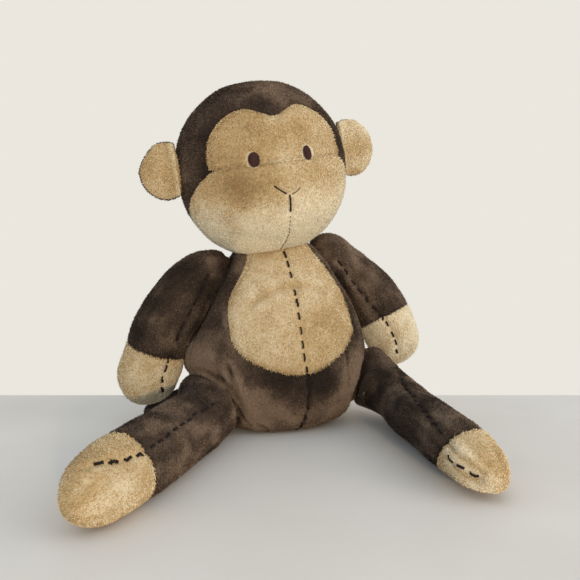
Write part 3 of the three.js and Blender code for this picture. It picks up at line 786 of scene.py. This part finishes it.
# Swellings, each with its centre, radius and height
LIMB_BULGES = {
    "arm_right": [((-46, -4, 66), 12, 2)],
    "arm_left": [((30, 4, 117), 15, 4.5), ((36, 0, 112), 9, 1)],
    "leg_right": [],
    "leg_left": [((54, -16, 44), 13, 6)],
}
SLEEVE_SHADE = 0.36
# Tone of each hand and foot; the monkey's left hand and foot are lighter than its right ones: painted light
# on the side the light comes from
END_TONE_WITH_PAINTED_LIGHT = {"arm_right": 0.62, "arm_left": 0.82, "leg_right": 0.48, "leg_left": 0.54}


class Limb:
    """A stuffed tube along a curve, with round ends."""

    def __init__(self, name, offsets, reference, size, swell, end_length=0, seam_tilt=(0, 0, 0)):
        length, width, thickness = size
        self.name, self.seam_tilt = name, np.array(seam_tilt)
        self.pivot = PIVOT[name]
        self.reference, self.length, self.width, self.thickness = reference, length, width, thickness
        self.swell, self.end_length = swell, end_length
        shape, long = even_curve(offsets, 300)
        self.line = shape * (length / long) + self.pivot
        self.tangents = unit(np.gradient(self.line, axis=0))

    def at(self, distance):
        """Centre, directions and half sizes at distances from the root."""
        share = np.clip(distance / self.length, 0, 1)
        spots = np.linspace(0, 1, len(self.line))
        centre = np.stack([np.interp(share, spots, column) for column in self.line.T], 1)
        tangent = unit(np.stack([np.interp(share, spots, column) for column in self.tangents.T], 1))
        centre = centre + tangent * np.minimum(distance, 0)[:, None]
        across = unit(np.cross(self.reference, tangent))
        behind = np.cross(tangent, across)
        root_end = self.thickness / 3
        from_root = np.clip((distance + root_end) / (self.width / 2), 0, 1)
        from_tip = np.clip((self.length - distance) / (self.width / 2), 0, 1)
        round_off = np.sqrt(1 - (1 - from_root) ** 2) * np.sqrt(1 - (1 - from_tip) ** 2)
        size = round_off * smooth_values(self.swell, share) / 2
        return centre, tangent, across, behind, self.width * size, self.thickness * size

    def form(self):
        root_end = self.thickness / 3
        rows = int(1.25 * (self.length + root_end) / FINENESS)
        sides = int(np.pi * (self.width + self.thickness) / 2 / FINENESS)
        t = np.linspace(0, 1, rows + 1)
        distance = (self.length + root_end) * (0.5 - 0.5 * np.cos(np.pi * t)) - root_end
        centre, tangent, across, behind, wide, deep = self.at(distance)
        points, triangles = ring_form(rows, sides, centre, across, behind, wide, deep, deep)
        angle = np.linspace(0, 2 * np.pi, sides, endpoint=False)
        along = np.concatenate([distance[:1], np.repeat(distance[1:-1], sides), distance[-1:]])
        around = np.concatenate([[0], np.tile(angle, rows - 1), [0]])
        drawn = np.concatenate([tangent[:1], np.repeat(tangent[1:-1], sides, axis=0), tangent[-1:]])
        return points, triangles, along, around, drawn

    def route(self, marks, count=60):
        """A line on the limb's surface through marks."""
        t = np.linspace(0, 1, count)
        distance, angle = (smooth_values([mark[k] for mark in marks], t) for k in (0, 1))
        angle = np.radians(angle)[:, None]
        centre, _, across, behind, wide, deep = self.at(distance)
        return centre + across * wide[:, None] * np.cos(angle) + behind * deep[:, None] * np.sin(angle)

    def distance_to(self, places):
        """About how far places are outside the limb's surface."""
        spots = np.linspace(0, self.length, 40)
        centre, *_, wide, deep = self.at(spots)
        gaps = places[:, None] - centre[None]
        far = np.linalg.norm(gaps, axis=2)
        nearest = np.argmin(far, axis=1)
        row = np.arange(len(places))
        radius = ((wide + deep) / 2)[nearest]
        return far[row, nearest] - radius


def arm(name, offsets, seam_tilt=(0, 0, 0)):
    size = ARM_LENGTH, ARM_WIDTH, ARM_THICKNESS
    return Limb(name, offsets, Y, size, ARM_SWELL, HAND_LENGTH, seam_tilt)


def leg(name, offsets, reference, foot_length, seam_tilt=(0, 0, 0)):
    size = LEG_LENGTH, LEG_WIDTH, LEG_THICKNESS
    return Limb(name, offsets, np.array(reference), size, LEG_SWELL, foot_length, seam_tilt)


LIMBS = {
    "arm_right": arm("arm_right", RIGHT_ARM),
    "arm_left": arm("arm_left", LEFT_ARM, (0.11, 0.36, 0.12)),
    "leg_right": leg("leg_right", RIGHT_LEG, (0.66, -0.47, 0.59), FOOT_LENGTH),
    "leg_left": leg("leg_left", LEFT_LEG, (0.7, 0, 0.7), PINCHED_FOOT_LENGTH, (-0.35, 0, 0.8)),
}


def torso_ratio(body_places):
    """About how far places are outside the torso's surface, in the body's own axes."""
    t = np.linspace(0, 1, 200)
    height = TORSO_HEIGHT * smooth_values(TORSO_SHAPE["height"], t)
    width = np.interp(body_places[:, 2], height, TORSO_WIDTH / 2 * smooth_values(TORSO_SHAPE["width"], t))
    depth = np.interp(body_places[:, 2], height, smooth_values(TORSO_DEPTH, t))
    depth = depth * np.where(body_places[:, 1] < 0, TORSO_FRONT, TORSO_BACK)
    ratio = np.hypot(body_places[:, 0] / np.maximum(width, 1), body_places[:, 1] / np.maximum(depth, 1))
    return (ratio - 1) * np.minimum(width, depth)


def brush(direction, seed, twist=0.7):
    """Pile brushed along a direction, with stirred patches."""

    def lean(root):
        base = direction(root) if callable(direction) else np.tile(direction, (len(root["point"]), 1))
        stir = np.stack([noise(root["point"], 22, seed + k) for k in range(3)], 1)
        return unit(base) + twist * stir

    return lean


def patches(places, seed, amount):
    """Lighter and darker patches where the pile lies differently."""
    warped = places + 5 * np.stack([noise(places, 12, seed + k) for k in range(3)], 1)
    broad = noise(warped, 25, seed)
    small = noise(warped, 10, seed + 5)
    fine = noise(places, 2.5, seed + 9)
    return amount * (0.8 * broad + 0.5 * small + 0.12 * fine)


def pile_and_light_spots(places, named):
    """Patches put where the photograph has them, partly brushed pile and partly painted light and shade: a
    centre, a radius and how much lighter each is.
    """
    total = np.zeros(len(places))
    for centre, radius, amount in named:
        total += amount * np.exp(-((np.linalg.norm(places - np.array(centre), axis=1) / radius) ** 2))
    return total


# Build the torso
TORSO_SHADE = 0.5
BELLY_SHADE = 0.52
# Spots on the torso, partly brushed pile and partly painted light and shade: lighter low down, where light
# from the table falls, and darker just below the belly patch
TORSO_PILE_AND_LIGHT_SPOTS = [
    ((-24, -37, 20), 15, 0.42),
    ((1, -41, 14), 14, 0.42),
    ((24, -36, 16), 12, 0.4),
    ((-10, -45, 34), 11, -0.3),
    ((15, -44, 33), 13, -0.4),
]
# The chin presses a crease across the top of the belly
CHIN_CREASE_SIZE = (2.6, 1.6)
CHIN_CREASE = [(-25, -32, 84), (-16, -34, 89), (-5, -35, 93), (5, -34, 94), (15.5, -33, 91), (24, -31, 87)]
# Pinches beside the hips, each with its two ends, width and depth
TORSO_FOLDS = [
    ((-41, -33, 48), (-18, -30, 3), 1.9, 6),
    ((-44, -31, 34), (-27, -31, 4), 1.5, 3.5),
    ((43, -28, 70), (38, -29, 14), 1.6, 4.5),
    ((34, -37, 56), (35, -34, 26), 1.7, 1.8),
    ((50, -20, 64), (49, -22, 14), 1.8, 2.6),
]
# The side bulges out behind the right arm
TORSO_BULGE = ((-54, -4, 50), 22, 6)
SEAM_BEND = {"height": [0, 18, 32, 42, 80, 115], "bend": [-0.5, 3, 3.2, 2, 1.6, 0]}


def seam_bend(height):
    """How far the centre seam strays to the monkey's left, at heights in the torso's own axes."""
    return np.interp(height, SEAM_BEND["height"], SEAM_BEND["bend"])


def past_centre(surface):
    """A field that is below zero to the monkey's right of the centre seam."""
    return surface["local"][:, 0] - seam_bend(surface["local"][:, 2])


def within(outline):
    """A field that is below zero inside an outline seen from the front."""
    return lambda surface: outline_distance(surface["local"][:, [0, 2]], outline)


def centre_seam():
    """The seam down the front of the torso, in its own axes and from the top."""
    levels = np.linspace(1, 0.985 * TORSO_HEIGHT, 160)
    t = np.linspace(0, 1, 200)
    height = TORSO_HEIGHT * smooth_values(TORSO_SHAPE["height"], t)
    depth = np.interp(levels, height, smooth_values(TORSO_DEPTH, t))
    return np.stack([seam_bend(levels), -TORSO_FRONT * depth, levels], 1)[::-1]


def build_torso():
    sizes = TORSO_HEIGHT, TORSO_WIDTH, TORSO_FRONT, TORSO_BACK
    flat, triangles = body_form(TORSO_SHAPE, 100 * np.pi, 170, 0, *sizes)
    ground = (flat @ LEAN.T)[:, 2].min() + SEAT_DEPTH
    turn = rotation(Z, BELLY_TURN)
    flat_normals = normals_of(flat, triangles)
    outline = belly_outline()
    front = flat[:, 1] < 0
    facing = flat @ turn
    belly = outline_distance(facing[:, [0, 2]], outline)
    seam = (centre_seam() @ turn.T) @ LEAN.T - ground * Z
    world = flat @ LEAN.T - ground * Z
    near_seam = line_distance(world, [seam[::2]])
    push = groove(np.where(front, belly, 99), *PANEL_GROOVE)
    push = push + groove(facing[:, 1] - SIDE_SEAM_Y, *SIDE_GROOVE)
    push = push + groove(near_seam, *BELLY_STITCH_GROOVE)
    for limb in LIMBS.values():
        push = push + groove(limb.distance_to(world), *LIMB_PRESS)
    lumps = 0.9 * noise(world, 30, 3) + 0.35 * noise(world, 11, 4)
    for start, end in zip(CHIN_CREASE, CHIN_CREASE[1:]):
        push = push + np.where(front, fold(flat, start, end, *CHIN_CREASE_SIZE), 0)
    for start, end, width, depth in TORSO_FOLDS:
        push = push + fold(flat, start, end, width, depth)
    push = push + bulge(flat, *TORSO_BULGE)
    local = flat + flat_normals * (push + lumps - PILE_ROOM)[:, None]
    world = settle(local @ LEAN.T - ground * Z)
    # Spots that are partly brushed pile and partly painted light and shade
    shade = TORSO_SHADE + patches(world, 11, TORSO_PATCHES) + 1.2 * pile_and_light_spots(flat, TORSO_PILE_AND_LIGHT_SPOTS)
    # Painted shade where the cloth dips into grooves, creases and pinches, and painted light where it swells
    shade = shade + TORSO_RELIEF_PAINTED_SHADE * np.clip(push, *RELIEF_PAINTED_SHADE_RANGE)
    pile = pile_near(near_seam, 0.2, 2.0) * np.where(front, fringe(belly), 1)
    surface = surface_of(world, triangles, shade, pile, local=local @ turn)
    tree = tree_of(world, triangles)
    surface, front_faces, back_faces = cut(surface, triangles, lambda s: s["local"][:, 1] - SIDE_SEAM_Y)
    down = brush(np.array([0.1, -0.1, -1.0]), 31)
    behind = ["torso_back_cover", "torso_filling", "neck_filling"]
    cover("torso_back", surface, back_faces, BROWN, down, "torso", behind)
    surface, belly_faces, brown_faces = cut(surface, front_faces, within(outline))
    surface, right, left = cut(surface, brown_faces, past_centre)
    for side, faces in (("left", left), ("right", right)):
        node = f"torso_front_{side}"
        cover(f"{node}_skin", surface, faces, BROWN, down, "torso", [node])
    surface["shade"] = BELLY_SHADE + 0.36 * (surface["shade"] - TORSO_SHADE)
    surface, right, left = cut(surface, belly_faces, past_centre)
    for side, faces in (("left", left), ("right", right)):
        cover(f"belly_{side}_skin", surface, faces, TAN, down, "torso", [f"belly_panel_{side}"])
    seam = seam[seam[:, 2] < 0.93 * TORSO_HEIGHT]
    form = running_stitches(seam, tree, STITCH_PITCH, STITCH_LENGTH, 0.9 * STITCH_WIDTH, 1.1, 3)
    thread_piece("belly_stitches", form, THREAD, "torso")


# Build the head
CROWN_SHADE = 0.34
FACE_SHADE = 0.49
# Spots on the crown, partly brushed pile and partly painted light and shade: darker on the monkey's right
# side, away from the light, and mostly lighter at the top
CROWN_PILE_AND_LIGHT_SPOTS = [
    ((0, -33, 34.5), 13, -0.3),
    ((-46, -22, 14), 24, -0.25),
    ((11, -28, 39), 14, 0.25),
    ((23, -25, 38), 12, 0.2),
    ((-29, -20, 38), 11, 0.12),
]
# Spots on the face, partly brushed pile and partly painted light and shade: mostly darker, most of all on the
# monkey's right side of the muzzle, away from the light
FACE_PILE_AND_LIGHT_SPOTS = [
    ((-27, -40, -8), 14, -0.16),
    ((-11, -45, -10), 14, -0.2),
    ((-28, -38, -18), 8, -0.24),
    ((-34, -28, -30), 6, -0.26),
    ((-29, -27, -37), 5, -0.26),
    ((21, -43, -10), 15, -0.14),
    ((-16, -37, 23), 12, -0.14),
    ((13, -40, 17), 9, -0.1),
    ((-3, -38, 25), 7, 0.16),
]
MOUTH_STEM = [(-0.4, -46, -18.6), (-0.3, -44, -24), (-0.2, -42, -30)]
MOUTH_LEFT = [(-9.2, -45, -12.6), (-6.2, -45.5, -15.4), (-1.6, -45.7, -18.8)]
MOUTH_RIGHT = [(7.4, -45, -15.4), (4.4, -45.3, -17.6), (0.6, -45.3, -19)]
CHIN_SEAM = [(-0.1, -41, -31), (0.6, -30.3, -43.6), (0.1, -18.8, -50.3), (0, -9, -53)]
EYE_SHIFT = -1.4
# Soft creases that run outwards from the eyes
CHEEK_FOLDS = [((22, -43, 0), (38, -30, -6), 3.2, 0.9), ((-24, -42, 2), (-38, -32, 8), 3.0, 0.6)]


def muzzle_field(local):
    """Below zero on the muzzle panel, in the head's own axes."""
    above = local[:, 2] - EYE_LINE_Z
    slant = ((local[:, 1] - MUZZLE_FRONT_Y) + MUZZLE_SLOPE * above) / math.hypot(1, MUZZLE_SLOPE)
    return np.maximum(above, slant)


def eye_places():
    return [
        np.array([EYE_SHIFT + sign * EYE_SPACING / 2, -HEAD_FRONT, EYE_LINE_Z + EYE_RISE]) for sign in (-1, 1)
    ]


def build_eye(name, node, tree, middle, width):
    """Satin stitch: threads side by side across an oval, and one thread round its edge."""
    places, outs = laid([HEAD_TURN @ middle + HEAD_CENTRE], tree)
    out = unit(outs[0])
    upright = unit(HEAD_TURN @ Z - out * (HEAD_TURN @ Z @ out))
    across = np.cross(upright, out)
    forms = []
    for level in np.arange((SATIN_PITCH - EYE_HEIGHT) / 2, EYE_HEIGHT / 2, SATIN_PITCH):
        half = width / 2 * math.sqrt(max(0, 1 - (2 * level / EYE_HEIGHT) ** 2))
        share = np.linspace(-1, 1, 13)[:, None]
        dome = 0.5 + 0.75 * np.sqrt(np.clip(1 - share**2 * 0.98, 0, 1)) * (half / width * 2) ** 0.5
        slope = level + 0.25 * share * SATIN_PITCH
        path = places[0] + across * share * half + upright * slope + out * dome
        forms.append(strand(path, np.tile(out, (13, 1)), 0.62 * SATIN_PITCH))
    around = np.linspace(0, 2 * np.pi, 49)[:, None]
    wide, high = width / 2 - 0.2, EYE_HEIGHT / 2 - 0.2
    ring = places[0] + across * np.cos(around) * wide + upright * np.sin(around) * high
    forms.append(strand(ring + out * 0.5, np.tile(out, (49, 1)), 0.34))
    made = thread_piece(name, joined(forms), SATIN, "head")
    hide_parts(node)


def head_places(marks, count=40):
    return even_curve(np.array(marks, float), count)[0] @ HEAD_TURN.T + HEAD_CENTRE


def build_head():
    sizes = HEAD_HEIGHT, HEAD_WIDTH, HEAD_FRONT, HEAD_BACK
    flat, triangles = body_form(HEAD_SHAPE, 106 * np.pi, 190, 0.5, *sizes)
    flat_normals = normals_of(flat, triangles)
    outline = forehead_outline()
    front = flat[:, 1] < 0
    above = flat[:, 2] > EYE_LINE_Z - 2
    forehead = np.abs(outline_distance(flat[:, [0, 2]], outline))
    muzzle = np.abs(muzzle_field(flat))
    push = groove(np.where(front & above, forehead, 99), *FACE_GROOVE)
    push = push + groove(np.where(flat[:, 1] < SIDE_LINE_Y, muzzle, 99), *FACE_GROOVE)
    push = push + groove(flat[:, 1] - SIDE_LINE_Y, *SIDE_GROOVE)
    world = flat @ HEAD_TURN.T + HEAD_CENTRE
    flat_tree = tree_of(world, triangles)
    mouth = [laid(head_places(marks), flat_tree)[0] for marks in (MOUTH_STEM, MOUTH_LEFT, MOUTH_RIGHT)]
    chin = laid(head_places(CHIN_SEAM), flat_tree)[0]
    near_mouth = line_distance(world, mouth)
    near_chin = line_distance(world, [chin])
    push = push + groove(near_mouth, *MOUTH_GROOVE) + groove(near_chin, *CHIN_GROOVE)
    eye = np.full(len(flat), 99.0)
    for middle in eye_places():
        oval = np.hypot((flat[:, 0] - middle[0]) / EYE_WIDTH, (flat[:, 2] - middle[2]) / EYE_HEIGHT) * 2
        eye = np.minimum(eye, np.where(front, oval, 99))
    push = push - 0.5 * np.exp(-(((eye - 1) / 0.35) ** 2))
    lumps = 0.9 * noise(world, 30, 23) + 0.3 * noise(world, 12, 24)
    for start, end, width, depth in CHEEK_FOLDS:
        push = push + fold(flat, start, end, width, depth)
    local = flat + flat_normals * (push + lumps - PILE_ROOM)[:, None]
    world = local @ HEAD_TURN.T + HEAD_CENTRE
    # The crown's spots are partly brushed pile and partly painted light and shade
    shade = CROWN_SHADE + patches(world, 41, HEAD_PATCHES) + pile_and_light_spots(flat, CROWN_PILE_AND_LIGHT_SPOTS)
    pile = np.minimum(pile_near(np.minimum(near_mouth, near_chin + 0.6)), np.clip((eye - 0.92) / 0.25, 0, 1))
    crossed = np.where(above, muzzle < 1.5, False) & (np.abs(flat[:, 2] - EYE_LINE_Z) < 2) & (forehead > 1.5)
    edge = np.where(above, forehead, muzzle)
    pile = pile * np.where(front & ~crossed, fringe(edge), 1)
    pile = np.minimum(pile, np.where(crossed, pile_near(muzzle, 0, 1.2), 9))
    rim = np.clip((1.3 - eye) / 0.1, 0, 1)[:, None]
    surface = surface_of(world, triangles, shade, pile, local=local, rim=rim)
    tree = tree_of(world, triangles)
    surface, front_faces, back_faces = cut(surface, triangles, lambda s: s["local"][:, 1] - SIDE_LINE_Y)
    down = brush(lambda root: np.array([0, 0, -1.0]) + 0.6 * (root["point"] - HEAD_CENTRE) / 50, 51)
    behind = ["head_back_cover", "head_filling"]
    cover("head_back", surface, back_faces, BROWN, down, "head", behind)
    surface, muzzle_faces, upper_faces = cut(surface, front_faces, lambda s: muzzle_field(s["local"]))
    surface, forehead_faces, crown_faces = cut(surface, upper_faces, within(outline))
    cover("crown", surface, crown_faces, BROWN, down, "head", ["crown_cover"])
    seam_light = 0.22 * np.exp(-((muzzle_field(surface["local"]) / 0.6) ** 2))[:, None]
    # Painted light: the muzzle gets lighter towards the chin, where light from the table below falls on it
    light = np.clip((EYE_LINE_Z - 12 - surface["local"][:, 2]) / 38, 0, 1)[:, None]
    surface["shade"] = FACE_SHADE + 0.38 * (surface["shade"] - CROWN_SHADE)
    # Spots that are partly brushed pile and partly painted light and shade
    surface["shade"] = surface["shade"] + pile_and_light_spots(surface["local"], FACE_PILE_AND_LIGHT_SPOTS)[:, None]
    surface["shade"] = surface["shade"] + seam_light + 0.3 * surface["rim"] + 0.8 * light
    cover("forehead", surface, forehead_faces, TAN, down, "head", ["forehead_panel"])
    cover("muzzle", surface, muzzle_faces, TAN, down, "head", ["muzzle_panel"])
    for name, middle, width in zip(("eye_right", "eye_left"), eye_places(), (EYE_WIDTH, FAR_EYE_WIDTH)):
        build_eye(f"{name}_satin", name, tree, middle, width)
    stem, left, right = (laid(line, tree) for line in mouth)
    forms = [stitch(*stem, 1.0, 0.9), stitch(*left, 0.75, 0.85)]
    thread_piece("mouth_stitches", joined(forms), THREAD, "head")
    fine = [stitch(*right, 0.6, 0.5), running_stitches(chin, tree, 2.9, 1.8, 0.55, 0.5, 8)]
    thread_piece("chin_stitches", joined(fine), FINE_THREAD, "head")


# Build the limbs
def build_limb(limb):
    points, triangles, along, around, drawn = limb.form()
    normal = normals_of(points, triangles)
    seam = limb.length - limb.end_length
    seam_spot = limb.at(np.array([seam]))
    square = unit(seam_spot[1][0] - limb.seam_tilt)
    past_seam = np.where(np.abs(along - seam) < 40, (points - seam_spot[0][0]) @ square, along - seam)
    lines = {part: limb.route(marks) for part, marks in SEWN_LINES[limb.name].items()}
    near_thread = line_distance(points, lines.values())
    push = groove(past_seam, *PANEL_GROOVE) + groove(near_thread, *LIMB_STITCH_GROOVE)
    push = push + groove(np.maximum(torso_ratio(points @ LEAN), 0), *TORSO_PRESS)
    for start, end, width, depth in LIMB_FOLDS[limb.name]:
        first, last = limb.route([start, end], 2)
        push = push + fold(points, first, last, width, depth)
    for centre, radius, height in LIMB_BULGES[limb.name]:
        push = push + bulge(points, centre, radius, height)
    lumps = 0.6 * noise(points, 24, 63) + 0.3 * noise(points, 9, 64)
    world = settle(points + normal * (push + lumps - PILE_ROOM)[:, None])
    streaked = np.stack([0.3 * along, 15 * np.cos(around), 15 * np.sin(around)], 1)
    shade = SLEEVE_SHADE + patches(world, 71, LIMB_PATCHES) + 0.2 * noise(streaked, 4, 61)
    # Painted shade where the cloth dips into grooves and creases, painted light where it swells, and spots
    # that are partly brushed pile and partly painted light and shade
    shade = shade + LIMB_RELIEF_PAINTED_SHADE * np.clip(push, *RELIEF_PAINTED_SHADE_RANGE) + pile_and_light_spots(world, LIMB_PILE_AND_LIGHT_SPOTS[limb.name])
    pile = pile_near(near_thread, 0.2, 2.0) * fringe(past_seam)
    local = np.stack([past_seam, around, along], 1)
    surface = surface_of(world, triangles, shade, pile, local=local, drawn=drawn)
    tree = tree_of(world, triangles)
    towards_end = brush(lambda root: root["drawn"], 81, 0.6)
    surface, sleeve_faces, end_faces = cut(surface, triangles, lambda s: s["local"][:, 0])
    root = limb.at(np.array([-4.0, 26.0]))[0]
    side = limb.name.split("_")[1]
    body = ("torso", limb.name, root[0] * MM, root[1] * MM)
    sleeve_nodes = [f"{limb.name}_sleeve", f"{limb.name}_filling"]
    cover(f"{limb.name}_skin", surface, sleeve_faces, BROWN, towards_end, body, sleeve_nodes)
    surface["shade"] = END_TONE_WITH_PAINTED_LIGHT[limb.name] + 0.5 * (surface["shade"] - SLEEVE_SHADE)
    end = f"{'hand' if limb.name.startswith('arm') else 'foot'}_{side}"
    cover(f"{end}_skin", surface, end_faces, TAN, towards_end, limb.name, [f"{end}_cover"])
    seed = sum(map(ord, limb.name))
    rows = {
        f"{limb.name}_stitches": ("sleeve", STITCH_PITCH, 0.85 * STITCH_WIDTH, 0.75, seed, body),
        f"{end}_stitches": ("end", 0.93 * STITCH_PITCH, STITCH_WIDTH, 0.85, seed + 1, limb.name),
    }
    for name, (part, pitch, width, lift, row_seed, carrier) in rows.items():
        form = running_stitches(lines[part], tree, pitch, STITCH_LENGTH, width, lift, row_seed)
        thread_piece(name, form, THREAD, carrier)


# Ears: a pad each, with a tan front and a brown back, sewn on along a straight rolled edge
def build_ear(side, sign):
    root = PIVOT[f"ear_{side}"]
    upright = HEAD_TURN @ Z
    outwards = HEAD_TURN @ np.array([sign * math.cos(EAR_SWEEP), math.sin(EAR_SWEEP), 0])
    forwards = np.cross(outwards, upright) * sign
    centre = root + outwards * (EAR_REACH - EAR_RADIUS)
    rows, sides = 44, 150
    t = np.linspace(0, 1, rows + 1)
    slope = np.pi * (t - 0.5)
    size = EAR_RADIUS * np.cos(slope)
    height = EAR_THICKNESS / 2 * np.sin(slope)
    basis = np.tile(outwards, (rows + 1, 1)), np.tile(upright, (rows + 1, 1))
    centres = centre + height[:, None] * np.cross(outwards, upright)
    points, triangles = ring_form(rows, sides, centres, *basis, size, size, size)
    outer = np.maximum((points - centre) @ outwards, 0)
    high = np.maximum((points - centre) @ upright, 0)
    narrower, lower, slant = EAR_PULL[side]
    points = points - outwards * (outer * (narrower + slant * high / EAR_RADIUS))[:, None]
    points = points - upright * (high * lower)[:, None]
    normal = normals_of(points, triangles)
    level = (points - centre) @ forwards
    reach = (points - root) @ outwards
    push = groove(level, *EAR_GROOVE) + 0.4 * noise(points, 12, 5)
    dish = np.exp(-(np.linalg.norm(points - centre + outwards * 6, axis=1) / 12) ** 2)
    push = push - 1.4 * np.where(level > 0, dish, 0)
    # Inside the head's outline the pad is gathered into a rolled edge that lies on the crown
    gathered = np.where(reach < 0, -0.85 * reach, 0)
    roll = np.exp(-((np.maximum(reach, 0) / 5) ** 2))
    world = points + normal * push[:, None] + outwards * gathered[:, None]
    world = world + forwards * (EAR_ROLL[side] * roll)[:, None]
    rim = np.exp(-(((reach - 0.6) / 1.5) ** 2))
    # The dish is also painted darker: painted shade in its hollow
    shade = SLEEVE_SHADE + patches(world, 91, EAR_PATCHES) - 0.12 * dish + EAR_RIM[side] * rim
    surface = surface_of(world, triangles, shade, np.ones(len(world)), local=level[:, None])
    surface, back_faces, front_faces = cut(surface, triangles, lambda s: s["local"][:, 0] - EAR_SPLIT[side])
    lean = brush(-upright, 95)
    ear = f"ear_{side}"
    cover(f"{ear}_back_skin", surface, back_faces, BROWN, lean, ear, [f"{ear}_back"])
    surface["shade"] = surface["shade"] + EAR_FRONT_TONE_WITH_PAINTED_LIGHT[side]
    cover(f"{ear}_front_skin", surface, front_faces, TAN, lean, ear, [f"{ear}_front"])


def build_tail():
    limb = Limb("tail", TAIL, Z, (TAIL_LENGTH, TAIL_THICKNESS, TAIL_THICKNESS), TAIL_SWELL)
    points, triangles, _, _, drawn = limb.form()
    normal = normals_of(points, triangles)
    world = settle(points + normal * (0.4 * noise(points, 12, 7))[:, None])
    shade = SLEEVE_SHADE + patches(world, 17, TAIL_PATCHES)
    surface = surface_of(world, triangles, shade, np.ones(len(world)), drawn=drawn)
    lean = brush(lambda root: root["drawn"], 19)
    cover("tail_skin", surface, triangles, BROWN, lean, "tail", ["tail"])


# The rattle stays as its solids, with a finish of its own
def finish_rattle():
    for piece in bpy.data.objects:
        node = piece.get("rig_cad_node", "")
        if node.startswith("rattle"):
            piece.material_slots[0].material = SHELL if "shell" in node else BEADS


# Camera, stage and light
CAMERA_DISTANCE = 455
CAMERA_HEIGHT = 126
CAMERA_SHIFT = 4
CAMERA_TURN = math.radians(15)
CAMERA_PITCH = math.radians(5)
CAMERA_LENS = 43.45
FLOOR_EDGE = 68
FLOOR_REACH = 3000
SKY_STRENGTH = 0.95
SKY = (0.72, 0.86, 1.0)
BACKDROP = (0.87, 0.84, 0.77)
# Square lights: metres along the view, to its right and up, then size, power and colour
LIGHTS = {
    "key": ((-1.233, 0.29, 0.204), 0.045, 6.2, (1.0, 0.75, 0.46)),
    "window": ((-0.6, 1.35, 0.7), 1.2, 7, (1.0, 0.97, 0.92)),
    "bounce": ((-0.95, 0.1, 0.02), 0.5, 1.6, (1.0, 0.93, 0.82)),
}
LIGHT_AIM = (-0.02, 0, 0.11)

forward = np.array([math.sin(CAMERA_TURN), math.cos(CAMERA_TURN), 0])
sideways = np.array([math.cos(CAMERA_TURN), -math.sin(CAMERA_TURN), 0])


def build_camera():
    data = bpy.data.cameras.new("camera")
    data.lens = CAMERA_LENS
    data.sensor_width = 36
    data.clip_start = 0.01
    camera = bpy.data.objects.new("camera", data)
    camera.location = (-forward * CAMERA_DISTANCE + sideways * CAMERA_SHIFT + Z * CAMERA_HEIGHT) * MM
    look = Vector(forward * math.cos(CAMERA_PITCH) - Z * math.sin(CAMERA_PITCH))
    camera.rotation_mode = "QUATERNION"
    camera.rotation_quaternion = look.to_track_quat("-Z", "Y")
    bpy.context.collection.objects.link(camera)
    bpy.context.scene.camera = camera


def build_stage():
    """A plain floor that ends just behind the tail."""
    near, far = -forward * FLOOR_REACH, forward * FLOOR_EDGE
    left, right = -sideways * FLOOR_REACH, sideways * FLOOR_REACH
    corners = np.array([near + left, near + right, far + right, far + left])
    make_object("table_top", corners, np.array([[0, 1, 2], [0, 2, 3]]), TABLE)


def build_lights():
    for name, ((ahead, right, up), size, power, colour) in LIGHTS.items():
        data = bpy.data.lights.new(name, "AREA")
        data.shape = "SQUARE"
        data.size = size
        data.energy = power
        data.color = colour
        light = bpy.data.objects.new(name, data)
        light.location = Vector(forward * ahead + sideways * right + Z * up)
        light.rotation_mode = "QUATERNION"
        light.rotation_quaternion = (Vector(LIGHT_AIM) - light.location).to_track_quat("-Z", "Y")
        bpy.context.collection.objects.link(light)


def build_world():
    """A cool sky in front of the toy, and a warm pale tone behind it and below the horizon."""
    world = bpy.data.worlds.new("world")
    bpy.context.scene.world = world
    world.use_nodes = True
    nodes, links = world.node_tree.nodes, world.node_tree.links
    direction = nodes.new("ShaderNodeTexCoord").outputs["Generated"]
    along = nodes.new("ShaderNodeVectorMath")
    along.operation = "DOT_PRODUCT"
    along.inputs[1].default_value = forward
    behind = added(nodes, "MapRange", From_Min=0.1, From_Max=0.5)
    behind.interpolation_type = "SMOOTHSTEP"
    height = nodes.new("ShaderNodeSeparateXYZ")
    below = added(nodes, "MapRange", From_Min=0, From_Max=-0.1)
    either = nodes.new("ShaderNodeMath")
    either.operation = "MAXIMUM"
    tone = nodes.new("ShaderNodeMix")
    tone.data_type = "RGBA"
    tone.inputs["A"].default_value = (*SKY, 1)
    tone.inputs["B"].default_value = (*BACKDROP, 1)
    links.new(direction, along.inputs[0])
    links.new(direction, height.inputs[0])
    links.new(along.outputs["Value"], behind.inputs["Value"])
    links.new(height.outputs["Z"], below.inputs["Value"])
    links.new(behind.outputs["Result"], either.inputs[0])
    links.new(below.outputs["Result"], either.inputs[1])
    links.new(either.outputs["Value"], tone.inputs["Factor"])
    links.new(tone.outputs["Result"], nodes["Background"].inputs["Color"])
    nodes["Background"].inputs["Strength"].default_value = SKY_STRENGTH
    bpy.context.scene.view_settings.view_transform = "Standard"


build_torso()
build_head()
for limb in LIMBS.values():
    build_limb(limb)
build_ear("left", 1)
build_ear("right", -1)
build_tail()
finish_rattle()
build_camera()
build_stage()
build_lights()
build_world()
